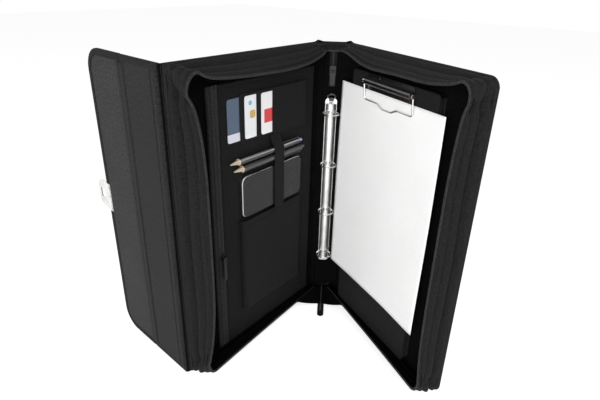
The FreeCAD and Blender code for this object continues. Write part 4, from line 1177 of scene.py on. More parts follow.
    def corner_runs(self) -> tuple[Array, Sequence[float]]:
        """Distance run along the sewn edge at each station, and at the middles of its two corners.

        Returns:
            The distances, and those at the two corners.
        """
        s, z = self.sewn_edge()
        run = run_lengths(self.plane.at(s, 0 * s, z))
        return run, [float(run[(SIDES == i) & (np.abs(SHARES - 0.5) < 0.03)].mean()) for i in (1, 3)]

    def outwards(self) -> tuple[Array, Array]:
        """Direction out of the wall in s and z: the sewn edge's tangent turned a quarter to the left."""
        way = unit(np.gradient(np.stack(self.sewn_edge(), axis=-1), axis=0))
        return -way[:, 1], way[:, 0]

    def wall(self, shift: float = 0.0) -> Surface:
        """Gusset: a loft from the sewn edge to the free edge, with soft folds that run along it.

        The folds are bells across the wall, crests and valleys in turn, and their places wander along it. A
        peak along the wall stands out as a ridge at each corner, between two wider hollows. All of it fades
        out at the two edges.

        Args:
            shift: How far the whole wall stands outwards.
        Returns:
            The surface.
        """
        s0, z0 = (a[:, None] for a in self.sewn_edge())
        s1, z1 = (a[:, None] for a in self.free_edge())
        out_s, out_z = (a[:, None] for a in self.outwards())
        v = np.linspace(0, 1, 30)[None, :]
        n0 = self.thick
        n1 = self.zip_depth(s1) - self.zip_below
        run, corners = self.corner_runs()
        run = run[:, None]
        fade = np.minimum(np.sin(math.pi * v) * 2.5, 1.0)
        across = v + sum(high * np.sin(run * rate + phase) for high, rate, phase in self.wander)
        depth = self.fold_deep * np.array(self.side_depths)[SIDES][:, None]
        folds = depth * fade * sum(high * hill(across, place, wide) for place, wide, high in self.folds)
        reach = self.ridge_reach
        ridge = sum(np.exp(-np.abs(run - c) / (self.ridge_wide * reach)) for c in corners)
        hollow = sum(high * hill(run, c + way * side * reach, self.hollow_wide * reach)
                     for c, way in zip(corners, (1, -1)) for side, high in zip((-1, 1), self.hollow_sides))
        hollow = hollow * np.sin(math.pi * v ** 0.6)
        push = shift + folds + self.ridge_high * (ridge * np.sin(math.pi * v) - hollow)
        s = s0 + (s1 - s0) * v + out_s * push
        z = z0 + (z1 - z0) * v + out_z * push
        n = n0 + (n1 - n0) * v
        points = self.plane.at(s, n, np.maximum(z, self.ground_gap))
        uv = np.stack(np.broadcast_arrays(v * 0.03, run), axis=-1)
        return Surface.grid(points, uv)

    def free_path(self, below: float) -> Array:
        """Free edge as a path, at a distance under the zip's meeting plane."""
        s, z = self.free_edge()
        return self.plane.at(s, self.zip_depth(s) - below, z)

    def build(self) -> None:
        """Makes the shell, its piping and stitches, the gusset, and the zip on its edge."""
        nodes = [f"{self.side}_{layer}" for layer in ("skin", "board", "lining")]
        piece(f"{self.side}_shell", self.shell.surface(), OUTER, self.body, nodes)
        inset = self.lining_in
        inside = Slab(self.plane, (self.shell.s[0] + inset, self.width - inset), (inset, self.height - inset),
                      flat(self.thick - 0.2 * MM), flat(self.thick + 0.12 * MM), far_r=self.corner - 1.0 * MM,
                      edge=0.15 * MM)
        piece(f"{self.side}_inner_lining", inside.surface(), LINING, self.body)
        face = self.plane.way(0.0, -1.0, 0.0)
        rim = self.shell.rim(self.seam_in, self.seam_deep - 0.2 * MM)
        piece(f"{self.side}_edge_stitches", stitch_row(rim, face), THREAD, self.body)
        s, z = self.sewn_edge()
        out_s, out_z = self.outwards()
        piping = self.plane.at(s + out_s * 0.3 * MM, self.thick + 0.2 * MM, z + out_z * 0.3 * MM)
        facing = self.plane.way(out_s, 0.6, out_z)
        cord = carried(piping, facing, oval(*self.piping, 10))
        piece(f"{self.side}_piping", cord, BINDING, self.body)
        self.build_gusset()
        self.build_zip()

    def build_gusset(self) -> None:
        length = self.corner_runs()[0][-1]
        layers = (("cloth", GUSSET, 0.0, 1.1 * MM, "shell", [f"{self.side}_gusset"]),
                  ("lining", LINING, -0.8 * MM, 0.4 * MM, "gusset_cloth", []))
        for layer, finish, shift, thickness, under, nodes in layers:
            wall = self.wall(shift)
            made = piece(f"{self.side}_gusset_{layer}", wall, finish, self.body, nodes, thickness, 60)
            wall.area() / length

    def build_zip(self) -> None:
        """Makes the rolled lip on the gusset's free edge, its teeth, stitches and a cord of painted groove shade.
        """
        path = self.free_path(self.lip_below)
        out_s, out_z = self.outwards()
        facing = self.plane.way(out_s, 0.0, out_z)
        lip = carried(path, facing, oval(*self.lip, 12, 0.6))
        # The lip takes the pale zip tape: a painted highlight along the gusset's free edge
        piece(f"{self.side}_zip_lip", lip, ZIP_TAPE_PAINTED_HIGHLIGHT, self.body, [f"{self.side}_zip_edge"])
        inner = path - unit(facing) * 1.6 * MM
        teeth = beads(inner, -facing, self.tooth_pitch, self.tooth)
        piece(f"{self.side}_zip_teeth", teeth, TEETH, self.body)
        seam = path + unit(facing) * 1.4 * MM
        piece(f"{self.side}_zip_stitches", stitch_row(seam, facing, 3.0 * MM), THREAD, self.body)
        # Painted shade: a cord of the darkest lining lies on the wall where a groove's shadow would fall
        s, z = self.sewn_edge()
        sewn, free = self.plane.at(s, self.thick, z), self.free_path(self.zip_below)
        groove = sewn + (free - sewn) * self.groove_share + unit(facing) * 0.75 * MM
        cord = carried(groove, facing, oval(1.1 * MM, 0.7 * MM, 8))
        piece(f"{self.side}_zip_groove_shade_cord", cord, LINING, self.body)


SPINE_SPAN = float(np.linalg.norm(fold_place("front_fold") - fold_place("back_fold")))


@dataclass
class Fold:
    """Fold between two panels: a cloth over the outside of the roll and one across the inside."""

    name: str
    first: str
    second: str
    bodies: tuple[str, str]
    reach: float = 11.0 * MM
    first_turned: bool = False
    height: tuple[float, float] = (0.6 * MM, 0.414)
    inner_depths: tuple[float, float] = (4.75 * MM, 4.75 * MM)
    inner_starts: tuple[float, float] = (5.5 * MM, 5.5 * MM)
    inner_finish: Cloth = LINING
    inner_margin: float = 0.0
    inner_lap: float = 4.0 * MM
    peak: float = 0.0
    cloth_t: float = 0.6 * MM

    def sides(self) -> tuple[Plane, Plane, float, float]:
        """The two panels, the fold's place along the first one, and the sign of the way into that one.

        Returns:
            The four in that order.
        """
        first, second = PLANES[self.first], PLANES[self.second]
        start = float((np.array(second.fold) - np.array(first.fold)) @ np.array(first.along))
        return first, second, start, -1.0 if self.first_turned else 1.0

    def spot(self, which: int, distance: float, depth: float, z: Array) -> Array:
        """Point on the first panel (0) or the second (1), at a distance from the fold."""
        first, second, start, way = self.sides()
        return second.at(distance, depth, z) if which else first.at(start + way * distance, depth, z)

    def ways(self) -> tuple[float, float]:
        """Angles in plan of the panels' outward directions, the second within half a turn of the first."""
        first, second = (math.atan2(-p.inward[1], -p.inward[0]) for p in self.sides()[:2])
        return first, first + math.remainder(second - first, 2 * math.pi)

    def outer_path(self, skin: float) -> Array:
        """Plan path over the outside: along the first panel, round the roll, along the second panel.

        Args:
            skin: How far the cloth stands off the roll.
        Returns:
            N by 2.
        """
        _, second, _, _ = self.sides()
        a, b = self.ways()
        turn = np.linspace(a, b, 15)
        radius = FOLD_R + skin
        centre = np.array(second.fold)
        arc = centre + radius * np.stack([np.cos(turn), np.sin(turn)], axis=-1)
        depths = [plane.depth - radius for plane in self.sides()[:2]]
        runs = np.linspace(self.reach, self.reach / 8, 6)
        near = np.stack([self.spot(0, d, depths[0], 0.0)[:2] for d in runs])
        far = np.stack([self.spot(1, d, depths[1], 0.0)[:2] for d in runs[::-1]])
        return np.concatenate([near, arc, far])

    def inner_path(self) -> Array:
        """Plan path across the inside: on the first panel, a bow towards the roll, on the second panel.

        Returns:
            N by 2.
        """
        _, second, _, _ = self.sides()
        (a0, a1), (b0, b1) = ([self.spot(i, start + lap, depth, 0.0)[:2] for lap in (self.inner_lap, 0.0)]
                              for i, (start, depth) in enumerate(zip(self.inner_starts, self.inner_depths)))
        centre = np.array(second.fold)
        control = centre + 0.36 * ((a1 - centre) + (b1 - centre))
        bow = curve(np.linspace(0, 1, 13)[:, None], a1, control, b1)
        return np.concatenate([a0[None], bow, b0[None]])

    def sheet(self, plan: Array, margin: float) -> Surface:
        """Upright cloth over a plan path, a margin short at head and foot; a bell lifts its head.

        Args:
            plan: N by 2.
            margin: Distance from the head and the foot.
        Returns:
            The surface.
        """
        down = run_lengths(np.pad(plan, ((0, 0), (0, 1))))[:, None]
        head = self.height[1] - margin + self.peak * hill(down, down[-1] / 2, 0.22 * down[-1])
        foot = self.height[0] + margin
        z = foot + (head - foot) * np.linspace(0, 1, 60)[None, :]
        points = np.concatenate([np.broadcast_to(plan[:, None], (*z.shape, 2)), z[..., None]], axis=-1)
        uv = np.stack(np.broadcast_arrays(down, z), axis=-1)
        return Surface.grid(points, uv)

    def bend(self) -> Bend:
        """The fold's two bodies and two places beside it, for cloth that crosses it."""
        start, end = (self.spot(i, 0.55 * self.reach, 0.0, 0.0) for i in (0, 1))
        return Bend(*self.bodies, start, end)

    def build(self) -> None:
        layers = (("outer", self.outer_path(0.35 * MM), OUTER, 0.0),
                  ("inner", self.inner_path(), self.inner_finish, self.inner_margin))
        for label, plan, finish, margin in layers:
            cloth = self.sheet(plan, margin)
            made = piece(f"{self.name}_{label}_cloth", cloth, finish, self.bend(), (), self.cloth_t, 60)
            length = self.height[1] - self.height[0] - 2 * margin
            cloth.area() / length


@dataclass
class Spine:
    """Stiff spine with its lining, and the tails of the main zip at its head and foot."""

    plane: Plane = field(default_factory=lambda: PLANES["spine"])
    tooth: tuple[float, float, float] = (0.9 * MM, 1.5 * MM, 0.5 * MM)
    tooth_pitch: float = 1.5 * MM
    tooth_sway: float = 0.5 * MM

    def build(self) -> None:
        """Makes the shell, its lining and the two zip tails."""
        board = self.plane.extent("spine_board")
        lining = self.plane.extent("spine_lining")
        height = self.plane.extent("spine_skin").z1
        inset = 1.4 * MM
        shell = Slab(self.plane, (board.s0 - 2 * MM, board.s1 + 2 * MM), (0.0, height), flat(0.0),
                     flat(lining.n1), edge=2.0 * MM,
                     seams_z=[(z, SEAM_HALF) for z in (7 * MM, height - 7 * MM)])
        piece("spine_shell", shell.surface(), OUTER, "spine", ["spine_skin", "spine_board", "spine_lining"])
        cover = Slab(self.plane, board.s, (inset, height - inset), flat(lining.n1 - 0.2 * MM),
                     flat(lining.n1 + 0.12 * MM), edge=0.15 * MM)
        piece("spine_inner_lining", cover.surface(), LINING, "spine")
        self.build_head_tail()
        self.build_foot_tail()

    def build_head_tail(self) -> None:
        """Closed end of the main zip: a tape with a row of teeth down its middle."""
        tail = self.plane.extent("zip_tail_head")
        tape = Slab(self.plane, tail.s, tail.z, flat(tail.n0 + 0.2 * MM),
                    flat(tail.n0 + 0.9 * MM), 1.0 * MM, 1.0 * MM, 0.4 * MM)
        piece("head_tail_tape", tape.surface(), TAIL, "spine", ["zip_tail_head"])
        middle, level = tail.middle, tail.n0 + 1.0 * MM
        path = straight(self.plane, (middle, level, tail.z0 + 3 * MM), (middle, level, tail.z1 - 1 * MM))
        teeth = beads(path, self.plane.face, self.tooth_pitch, self.tooth, sway=self.tooth_sway)
        piece("head_tail_teeth", teeth, TEETH, "spine")

    def build_foot_tail(self) -> None:
        """Other end of the main zip, a stitched tab that lies forwards on the ground."""
        tail = self.plane.extent("zip_tail_foot")
        half, middle = (tail.s1 - tail.s0) / 2, tail.middle
        n = np.concatenate([np.linspace(tail.n0, tail.n1 - half, 30), tail.n1 - half + half * np.sin(
            np.linspace(0.08, 1, 14) * math.pi / 2)])[:, None]
        width = np.sqrt(np.clip(half ** 2 - np.maximum(n - (tail.n1 - half), 0) ** 2, 0.0, None))
        width = np.maximum(width, 0.02 * MM)
        turn = np.linspace(0, 2 * math.pi, 25)[None, :]
        top = tail.z1 - 0.15 * MM
        s = middle + width * np.sign(np.cos(turn)) * np.abs(np.cos(turn)) ** 0.35
        z = top / 2 + top / 2 * np.sign(np.sin(turn)) * np.abs(np.sin(turn)) ** 0.6 + 0.05 * MM
        tape = Surface.grid(end_closed(self.plane.at(s, n, z)))
        piece("foot_tail_tape", tape, TAIL, "spine", ["zip_tail_foot"])
        path = straight(self.plane, (middle, tail.n0 + 3 * MM, top), (middle, tail.n1 - 12 * MM, top))
        teeth = beads(path, UP, self.tooth_pitch, self.tooth, 0.05 * MM, self.tooth_sway)
        piece("foot_tail_teeth", teeth, TEETH, "spine")


@dataclass
class HeadGore:
    """Cloth at the spine's head that carries a gusset and its zip edge over to the zip's hanging tail."""

    cover: Cover
    tail_drop: float = 12.0 * MM
    tail_out: float = 3.5 * MM
    near_pull: float = 9.0 * MM
    tail_pull: float = 16.0 * MM
    leave_slope: float = 0.25
    wave: float = 1.2 * MM
    lip: tuple[float, float] = (1.8 * MM, 2.6 * MM)
    seam: tuple[float, float] = (1.3 * MM, 0.8 * MM)
    seam_row: int = 6

    def build(self) -> None:
        """Makes the gore as a loft from the linings' ends to its free edge, its lip and a seam cord of painted
        shade.

        The sewn edge is a bow round the fold's corner. The free edge is a cubic curve that leaves the gusset
        along its own edge and reaches the tail level.
        """
        cover, spine, plane = self.cover, PLANES["spine"], self.cover.plane
        back = cover.side == "back"
        side = -1.0 if back else 1.0
        start, top = cover.wall_start, cover.height - cover.wall_inset
        _, z_free = cover.free_edge()
        free = plane.at(start, cover.zip_depth(start) - cover.zip_below, z_free[0])
        middle = SPINE_SPAN / 2 + side * 0.15 * MM
        tail = spine.at(middle, cover.thick + self.tail_out, cover.height - self.tail_drop)
        corner = np.array(plane.fold)
        near, far = plane.at(start, cover.thick, top), spine.at(middle, cover.thick, top)
        control = np.append(corner + 0.42 * ((near[:2] - corner) + (far[:2] - corner)), top)
        t = np.linspace(0, 1, 26)[:, None]
        sewn = curve(t, near, control, far)
        leaving = free + plane.way(-self.near_pull, 0.0, self.leave_slope * self.near_pull)
        reaching = tail + spine.way(side * self.tail_pull, 0.0, 0.0)
        edge = curve(t, free, leaving, reaching, tail)
        v = np.linspace(0, 1, 14)[None, :, None]
        points = sewn[:, None] * (1 - v) + edge[:, None] * v
        points[..., 2] += self.wave * np.sin(2 * math.pi * v[..., 0]) * np.sin(math.pi * t)
        bend = Bend(cover.body, "spine", plane.at(start - 3 * MM, 0.0, 0.0),
                    spine.at(middle * (0.55 if back else 1.2), 0.0, 0.0))
        gore = Surface.grid(points)
        made = piece(f"{cover.side}_head_gore", gore, GUSSET, bend, thickness=1.0 * MM, sharp_deg=60)
        gore.area()
        lip = carried(edge, UP, oval(*self.lip, 12, 0.6))
        # The gore's lip takes the pale zip tape, a painted highlight
        piece(f"{cover.side}_head_gore_lip", lip, ZIP_TAPE_PAINTED_HIGHLIGHT, bend)
        # Painted shade: a cord of the darkest lining stands for the shadow of the fold along the seam
        seam = carried(points[:, self.seam_row] + 0.5 * MM * UP, UP, oval(*self.seam, 8))
        piece(f"{cover.side}_head_gore_seam_shade_cord", seam, LINING, bend)


@dataclass
class FootWeb:
    """Cloth web at the spine's foot, from a gusset's free edge to the zip's closed tail on the ground."""

    cover: Cover
    reach: float = 66.0 * MM
    tail_reach: float = 56.0 * MM
    tail_z: float = 2.1 * MM
    sag: float = 1.6 * MM
    turn_at: float = 0.7
    lip: tuple[float, float] = (2.0 * MM, 1.8 * MM)
    binding: tuple[float, float] = (3.6 * MM, 3.6 * MM)

    def build(self) -> None:
        """Makes the web as a loft from the gusset's edge to the tail, its front lip and its binding.

        Rows run from the front edge back to the fold, where the last row lies along the cover. Across a row
        the height goes from one side to the other, less half a sine wave that is deepest in front.
        """
        cover, spine, plane = self.cover, PLANES["spine"], self.cover.plane
        side = -1.0 if cover.side == "back" else 1.0
        t = np.linspace(0, 1, 30)
        foot = SIDES == 4
        along, height = (values[foot][::-1] for values in cover.free_edge())
        going = np.minimum(t / self.turn_at, 1.0)
        s = self.reach + (cover.wall_start - self.reach) * going
        z = np.interp(s, along, height)
        sewn = plane.at(s, cover.zip_depth(s) - cover.zip_below, z)
        n = self.tail_reach + (cover.thick - self.tail_reach) * going
        tail = spine.at(SPINE_SPAN / 2 + side * 0.8 * MM, n, self.tail_z)
        corner = np.array(plane.fold)
        inner = corner + 0.6 * cover.thick * (np.array(plane.inward) + np.array(spine.inward)) / 2
        end = np.clip((t - self.turn_at) / (1 - self.turn_at), 0, 1)[:, None]
        sewn = sewn * (1 - end) + plane.at(cover.wall_start, cover.thick, 2.0 * MM) * end
        tail = tail * (1 - end) + np.append(inner, 2.5 * MM) * end
        v = np.linspace(0, 1, 18)[None, :, None]
        points = sewn[:, None] * (1 - v) + tail[:, None] * v
        points[..., 2] -= self.sag * np.sin(math.pi * v[..., 0]) * (1 - 0.8 * t[:, None])
        points[..., 2] = np.maximum(points[..., 2], 1.0 * MM)
        middles = [row[len(row) // 2] for row in (sewn, tail)]
        across = middles[1] - middles[0]
        bend = Bend(cover.body, "spine", middles[0] + 0.25 * across, middles[0] + 0.75 * across)
        web = Surface.grid(points)
        # Painted shade: the web, its lip and its binding take the darkest lining cloth, for the shade at the foot
        made = piece(f"{cover.side}_foot_web", web, LINING, bend, thickness=0.9 * MM, sharp_deg=60)
        web.area()
        lip = carried(points[0], UP, oval(*self.lip, 12, 0.7))
        piece(f"{cover.side}_foot_web_lip", lip, LINING, bend)
        near = s[going < 1.0]
        bound = plane.at(near, cover.zip_depth(near) - cover.lip_below, np.interp(near, along, height))
        binding = carried(bound, UP, oval(*self.binding, 12))
        piece(f"{cover.side}_foot_web_binding", binding, LINING, cover.body)


@dataclass
class Flap:
    """Wrap strip and flap: padded sheets with a bound hem, sewn seams and a padded roll by the cover."""

    strip: Plane = field(default_factory=lambda: PLANES["strip"])
    flap: Plane = field(default_factory=lambda: PLANES["flap"])
    top: float = field(init=False)
    height: float = field(init=False)
    corner: float = 28.0 * MM
    hem: float = 8.0 * MM
    seam: float = 14.5 * MM
    roll_high: float = 2.4 * MM
    roll_ends: float = 10.0 * MM
    fold_seams: tuple[float, float] = (7.0 * MM, 10.0 * MM)
    lap: float = 3.4 * MM

    def __post_init__(self) -> None:
        """Takes the sheets' thickness and height from the frame."""
        self.top = self.strip.extent("strip_lining").n1
        self.height = self.strip.extent("strip_skin").z1

    @property
    def middle(self) -> float:
        """Depth halfway through the sheets."""
        return (self.top - FOLD_R) / 2

    def hem_profile(self) -> Array:
        """Section of the bound hems."""
        return oval(self.hem + 0.6 * MM, self.top + FOLD_R + 0.8 * MM, 16, 0.42)

    def hem_heights(self) -> tuple[float, float]:
        """Heights of the strip's hems at the foot and the head."""
        foot = self.hem / 2 + 0.3 * MM
        return foot, self.height - foot

    def strip_face(self, s: Array, z: Array, inside: Array) -> Array:
        """Strip's inner face: half a sine wave of padding beside the cover, and grooves along the seams.

        Args:
            s: Distances along the panel.
            z: Heights.
            inside: Distances in from the outline.
        Returns:
            The depths.
        """
        ends = smooth(np.minimum(z, self.height - z), 0.6 * self.roll_ends, self.roll_ends)
        roll = self.roll_high * np.sin(math.pi * np.clip(s / self.seam, 0, 1)) ** 0.8 * ends
        far = self.strip.extent("strip_skin").s1
        grooves = sum(hill(s, far - d, 0.7 * MM) for d in self.fold_seams)
        return self.top + 0.25 * MM + roll - 1.7 * MM * grooves

    def flap_face(self, s: Array, z: Array, inside: Array) -> Array:
        """Flap's inner face, which swells a little inside its hem."""
        return self.top + 0.35 * MM * smooth(inside, self.hem, 2 * self.hem)

    def build(self) -> None:
        """Makes the strip's sheet with its hems and rows of stitches, then the flap."""
        skin, end = self.strip.extent("strip_skin"), self.strip.extent("strip_lining").s1 + self.lap
        seams = [skin.s1 - d for d in self.fold_seams]
        gap, margin = 0.5 * MM, 0.3 * MM
        heights = (margin, self.height - margin)
        tape = Slab(self.strip, (self.seam - 4 * MM, self.seam + 4 * MM), (0.4 * MM, self.height - 0.4 * MM),
                    flat(-FOLD_R + 0.2 * MM), flat(0.3 * MM), edge=0.3 * MM)
        piece("strip_seam_tape", tape.surface(), LINING, "wrap_strip")
        outside = Slab(self.strip, (skin.s0 + gap, end), heights, flat(-FOLD_R - 0.25 * MM),
                       flat(-FOLD_R + 0.3 * MM), edge=0.25 * MM)
        piece("strip_outer_cloth", outside.surface(), OUTER, "wrap_strip")
        # The roll and the sheet take paler copies of the outer fabric, which are painted light
        bands = (("strip_roll", (skin.s0 + gap, self.seam - gap), [], ROLL_PAINTED_LIGHT, 3.0 * MM, 0.3, []),
                 ("strip_sheet", (self.seam + gap, end), seams, STRIP_LINING_PAINTED_LIGHT, 1.5 * MM, 0.6,
                  ["strip_skin", "strip_lining"]))
        face, base = self.strip.face, self.strip.at(0.0, -FOLD_R, 0.0)
        for name, ends, seams_s, finish, edge, keep, nodes in bands:
            band = Slab(self.strip, ends, heights, flat(-FOLD_R), self.strip_face, edge=edge, step=3 * MM,
                        seams_s=[(s, SEAM_HALF) for s in seams_s],
                        seams_z=[(self.roll_ends, 2 * MM), (self.height - self.roll_ends, 2 * MM)])
            made = piece(name, band.surface(), finish, "wrap_strip", nodes)
            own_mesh(made)
        level = self.top + 0.25 * MM
        rows = [sewn_line(self.strip, (s, level, self.hem), (s, level, self.height - self.hem))
                for s in (self.seam + 2.2 * MM, seams[0] + 1.5 * MM)]
        piece("strip_stitches", rows[0] + rows[1], THREAD, "wrap_strip")
        hem_end = end - 0.6 * MM
        paths = [straight(self.strip, (skin.s0 + gap, self.middle, z), (hem_end, self.middle, z))
                 for z in self.hem_heights()]
        hems = [carried(line, face, self.hem_profile()) for line in paths]
        piece("strip_hems", hems[0] + hems[1], BINDING, "wrap_strip")
        self.build_hem_turns(hem_end)
        self.build_flap()

    def build_hem_turns(self, strip_end: float) -> None:
        """Makes the bits of binding that carry the hems over the flap's fold.

        Args:
            strip_end: Where the strip's hems end.
        """
        middle, tall = self.middle, self.top + FOLD_R + 0.2 * MM
        start, end = self.strip.at(strip_end, middle, 0.0), self.flap.at(1.5 * MM, middle, 0.0)
        for label, z in zip(("foot", "head"), self.hem_heights()):
            ends = self.strip.at(strip_end - 4 * MM, middle, z), self.flap.at(5 * MM, middle, z)
            path = np.linspace(*ends, 16)
            turn = carried(path, self.strip.face, oval(self.hem, tall, 16, 0.42))
            made = piece(f"{label}_hem_turn", turn, BINDING, Bend("wrap_strip", "flap", start, end))
            self.hem + tall

    def build_flap(self) -> None:
        """Makes the flap's sheet, hem and stitches."""
        skin = self.flap.extent("flap_skin")
        height = self.height
        sheet = Slab(self.flap, skin.s, (0.0, height), flat(-FOLD_R), self.flap_face,
                     far_r=self.corner, edge=1.6 * MM, seams_s=[(skin.s1 - self.hem, 1.0 * MM)],
                     seams_z=[(self.hem, 1.0 * MM), (height - self.hem, 1.0 * MM)])
        nodes = ["flap_skin", "flap_board", "flap_binding", "flap_lining"]
        # The flap's sheet takes the paler copy of the outer fabric, which is painted light
        piece("flap_sheet", sheet.surface(), FLAP_LINING_PAINTED_LIGHT, "flap", nodes)
        inset = 1 * MM
        outside = Slab(self.flap, (skin.s0, skin.s1 - inset), (inset, height - inset),
                       flat(-FOLD_R - 0.25 * MM), flat(-FOLD_R + 0.3 * MM), far_r=self.corner - inset,
                       edge=0.25 * MM)
        piece("flap_outer_cloth", outside.surface(), OUTER, "flap")
        hem = carried(sheet.rim(self.hem / 2, self.middle), self.flap.face, self.hem_profile())
        piece("flap_hem", hem, BINDING, "flap")
        rows = stitch_row(sheet.rim(self.hem - 0.9 * MM, self.top + 0.4 * MM), self.flap.face)
        piece("flap_stitches", rows, THREAD, "flap")


@dataclass
class Organiser:
    """Panel on the back cover with its zip pocket, card pockets, elastic strap and open pocket."""

    plane: Plane = field(default_factory=lambda: PLANES["back"])
    body: str = "back_cover"
    band: float = 22.0 * MM
    border: float = 4.0 * MM
    tooth: tuple[float, float, float] = (0.8 * MM, 1.35 * MM, 0.6 * MM)
    tooth_pitch: float = 1.25 * MM
    tooth_sway: float = 0.55 * MM
    pocket_hem: float = 9.0 * MM
    pocket_round: float = 5.0 * MM

    def build(self) -> None:
        """Makes the panel, its margin, the zip, the pockets and the strap."""
        self.build_panel()
        self.build_zip()
        self.build_card_pockets()
        self.build_pocket()
        self.build_strap()

    def panel_face(self, s: Array, z: Array, inside: Array) -> Array:
        """Panel's face, which swells inside its edges, with grooves along its border and beside the band.

        Args:
            s: Distances along the panel.
            z: Heights.
            inside: Distances in from the outline.
        Returns:
            The depths.
        """
        panel = self.plane.extent("organiser_panel")
        swell = 0.7 * MM * smooth(inside, 0.0, 30 * MM)
        band = 0.5 * MM * hill(s, panel.s0 + self.band, 1.2 * MM)
        border = 0.35 * MM * hill(inside, self.border, 0.9 * MM)
        return panel.n1 - 0.75 * MM + swell - band - border

    def build_panel(self) -> None:
        """Makes the padded panel with a sewn border and the strip along its spine side."""
        panel, wall, margin = (self.plane.extent(f"organiser_{part}") for part in ("panel", "wall", "margin"))
        band, border = panel.s0 + self.band, self.border
        seams_s = [(band, 1.2 * MM), (panel.s0 + border, 0.9 * MM)]
        seams_z = [(panel.z0 + border, 0.9 * MM), (panel.z1 - border, 0.9 * MM)]
        sheet = Slab(self.plane, panel.s, panel.z, flat(wall.n0 + 0.1 * MM), self.panel_face,
                     2 * MM, 0.5 * MM, 1.6 * MM, 7 * MM, seams_s, seams_z)
        nodes = ["organiser_panel", "organiser_wall"]
        made = piece("organiser_sheet", sheet.surface(), PANEL, self.body, nodes)
        side = Slab(self.plane, margin.s, margin.z, flat(margin.n0 + 0.1 * MM),
                    grooved(margin.n1 - 0.3 * MM, 3.5 * MM, 0.3 * MM, 0.8 * MM),
                    0.5 * MM, 2 * MM, 1.8 * MM, 7 * MM, [(margin.s1 - 3.5 * MM, 0.8 * MM)])
        # The margin takes the paler copy of the panel fabric, which is painted light
        piece("organiser_margin_sheet", side.surface(), MARGIN_PAINTED_LIGHT, self.body, ["organiser_margin"])
        lines = ((band + 2 * MM, 0.1 * MM, 5 * MM), (panel.s1 - 2.5 * MM, 0.4 * MM, 3 * MM),
                 (margin.s0 + 2.5 * MM, 0.4 * MM, 3 * MM))
        rows = [sewn_line(self.plane, (s, panel.n1 - sunk, panel.z0 + short),
                          (s, panel.n1 - sunk, panel.z1 - short)) for s, sunk, short in lines]
        piece("organiser_stitches", rows[0] + rows[1] + rows[2], THREAD, self.body)

    def build_zip(self) -> None:
        """Makes the pocket's zip: two tapes with a gap and interlocked teeth."""
        box = self.plane.extent("pocket_zip")
        middle, half_gap, level = box.middle, 0.3 * MM, box.n0 + 1.0 * MM
        tapes = [Slab(self.plane, ends, box.z, flat(box.n0 + 0.02 * MM), flat(box.n0 + 0.6 * MM),
                      edge=0.3 * MM).surface()
                 for ends in ((box.s0, middle - half_gap), (middle + half_gap, box.s1))]
        # The pocket zip's tapes take the same pale zip tape, lightened as a painted highlight
        piece("pocket_zip_tapes", tapes[0] + tapes[1], ZIP_TAPE_PAINTED_HIGHLIGHT, self.body, ["pocket_zip"])
        path = straight(self.plane, (middle, level, box.z0 + 4.5 * MM), (middle, level, box.z1 - 4.5 * MM))
        teeth = beads(path, self.plane.face, self.tooth_pitch, self.tooth, sway=self.tooth_sway)
        piece("pocket_zip_teeth", teeth, TEETH, self.body)

    def build_card_pockets(self) -> None:
        """Makes the three overlapping card pockets, each open along the edge that its card shows at."""
        for i in (1, 2, 3):
            box, card = self.plane.extent(f"card_pocket_{i}"), self.plane.extent(f"card_{i}")
            mouth, level = box.s1 - 4 * MM, box.n1 - 0.32 * MM

            def under(s: Array, z: Array, inside: Array) -> Array:
                """Depth of the patch's back, which goes down to its seams on three sides."""
                loose = np.minimum(smooth(np.minimum(z - box.z0, box.z1 - z), 2.6 * MM, 3.3 * MM),
                                   smooth(s - box.s0, 0.9 * MM, 1.4 * MM))
                return box.n1 - 0.6 * MM - (box.n1 - box.n0 - 0.6 * MM) * (1 - loose)

            def over(s: Array, z: Array, inside: Array) -> Array:
                """Depth of the patch's front, with a groove along the hem of its mouth."""
                return box.n1 - 0.25 * MM * hill(s, mouth, 0.7 * MM)

            patch = Slab(self.plane, box.s, box.z, under, over, edge=0.3 * MM, step=6 * MM,
                         seams_s=[(mouth, 0.7 * MM), (box.s0 + 1.2 * MM, 0.3 * MM)],
                         seams_z=[(card.z0 - 0.5 * MM, 0.4 * MM), (card.z1 + 0.5 * MM, 0.4 * MM)])
            piece(f"card_pocket_{i}_patch", patch.surface(), PANEL, self.body, [f"card_pocket_{i}"])
            lines = [(mouth, box.z0 + 2 * MM, mouth, box.z1 - 2 * MM)]
            lines += [(box.s0 + 2 * MM, z, box.s1 - 1 * MM, z)
                      for z in (box.z0 + 1.5 * MM, box.z1 - 1.5 * MM)]
            rows = [sewn_line(self.plane, (a, level, b), (c, level, d), 2.8 * MM) for a, b, c, d in lines]
            piece(f"card_pocket_{i}_stitches", rows[0] + rows[1] + rows[2], THREAD, self.body)

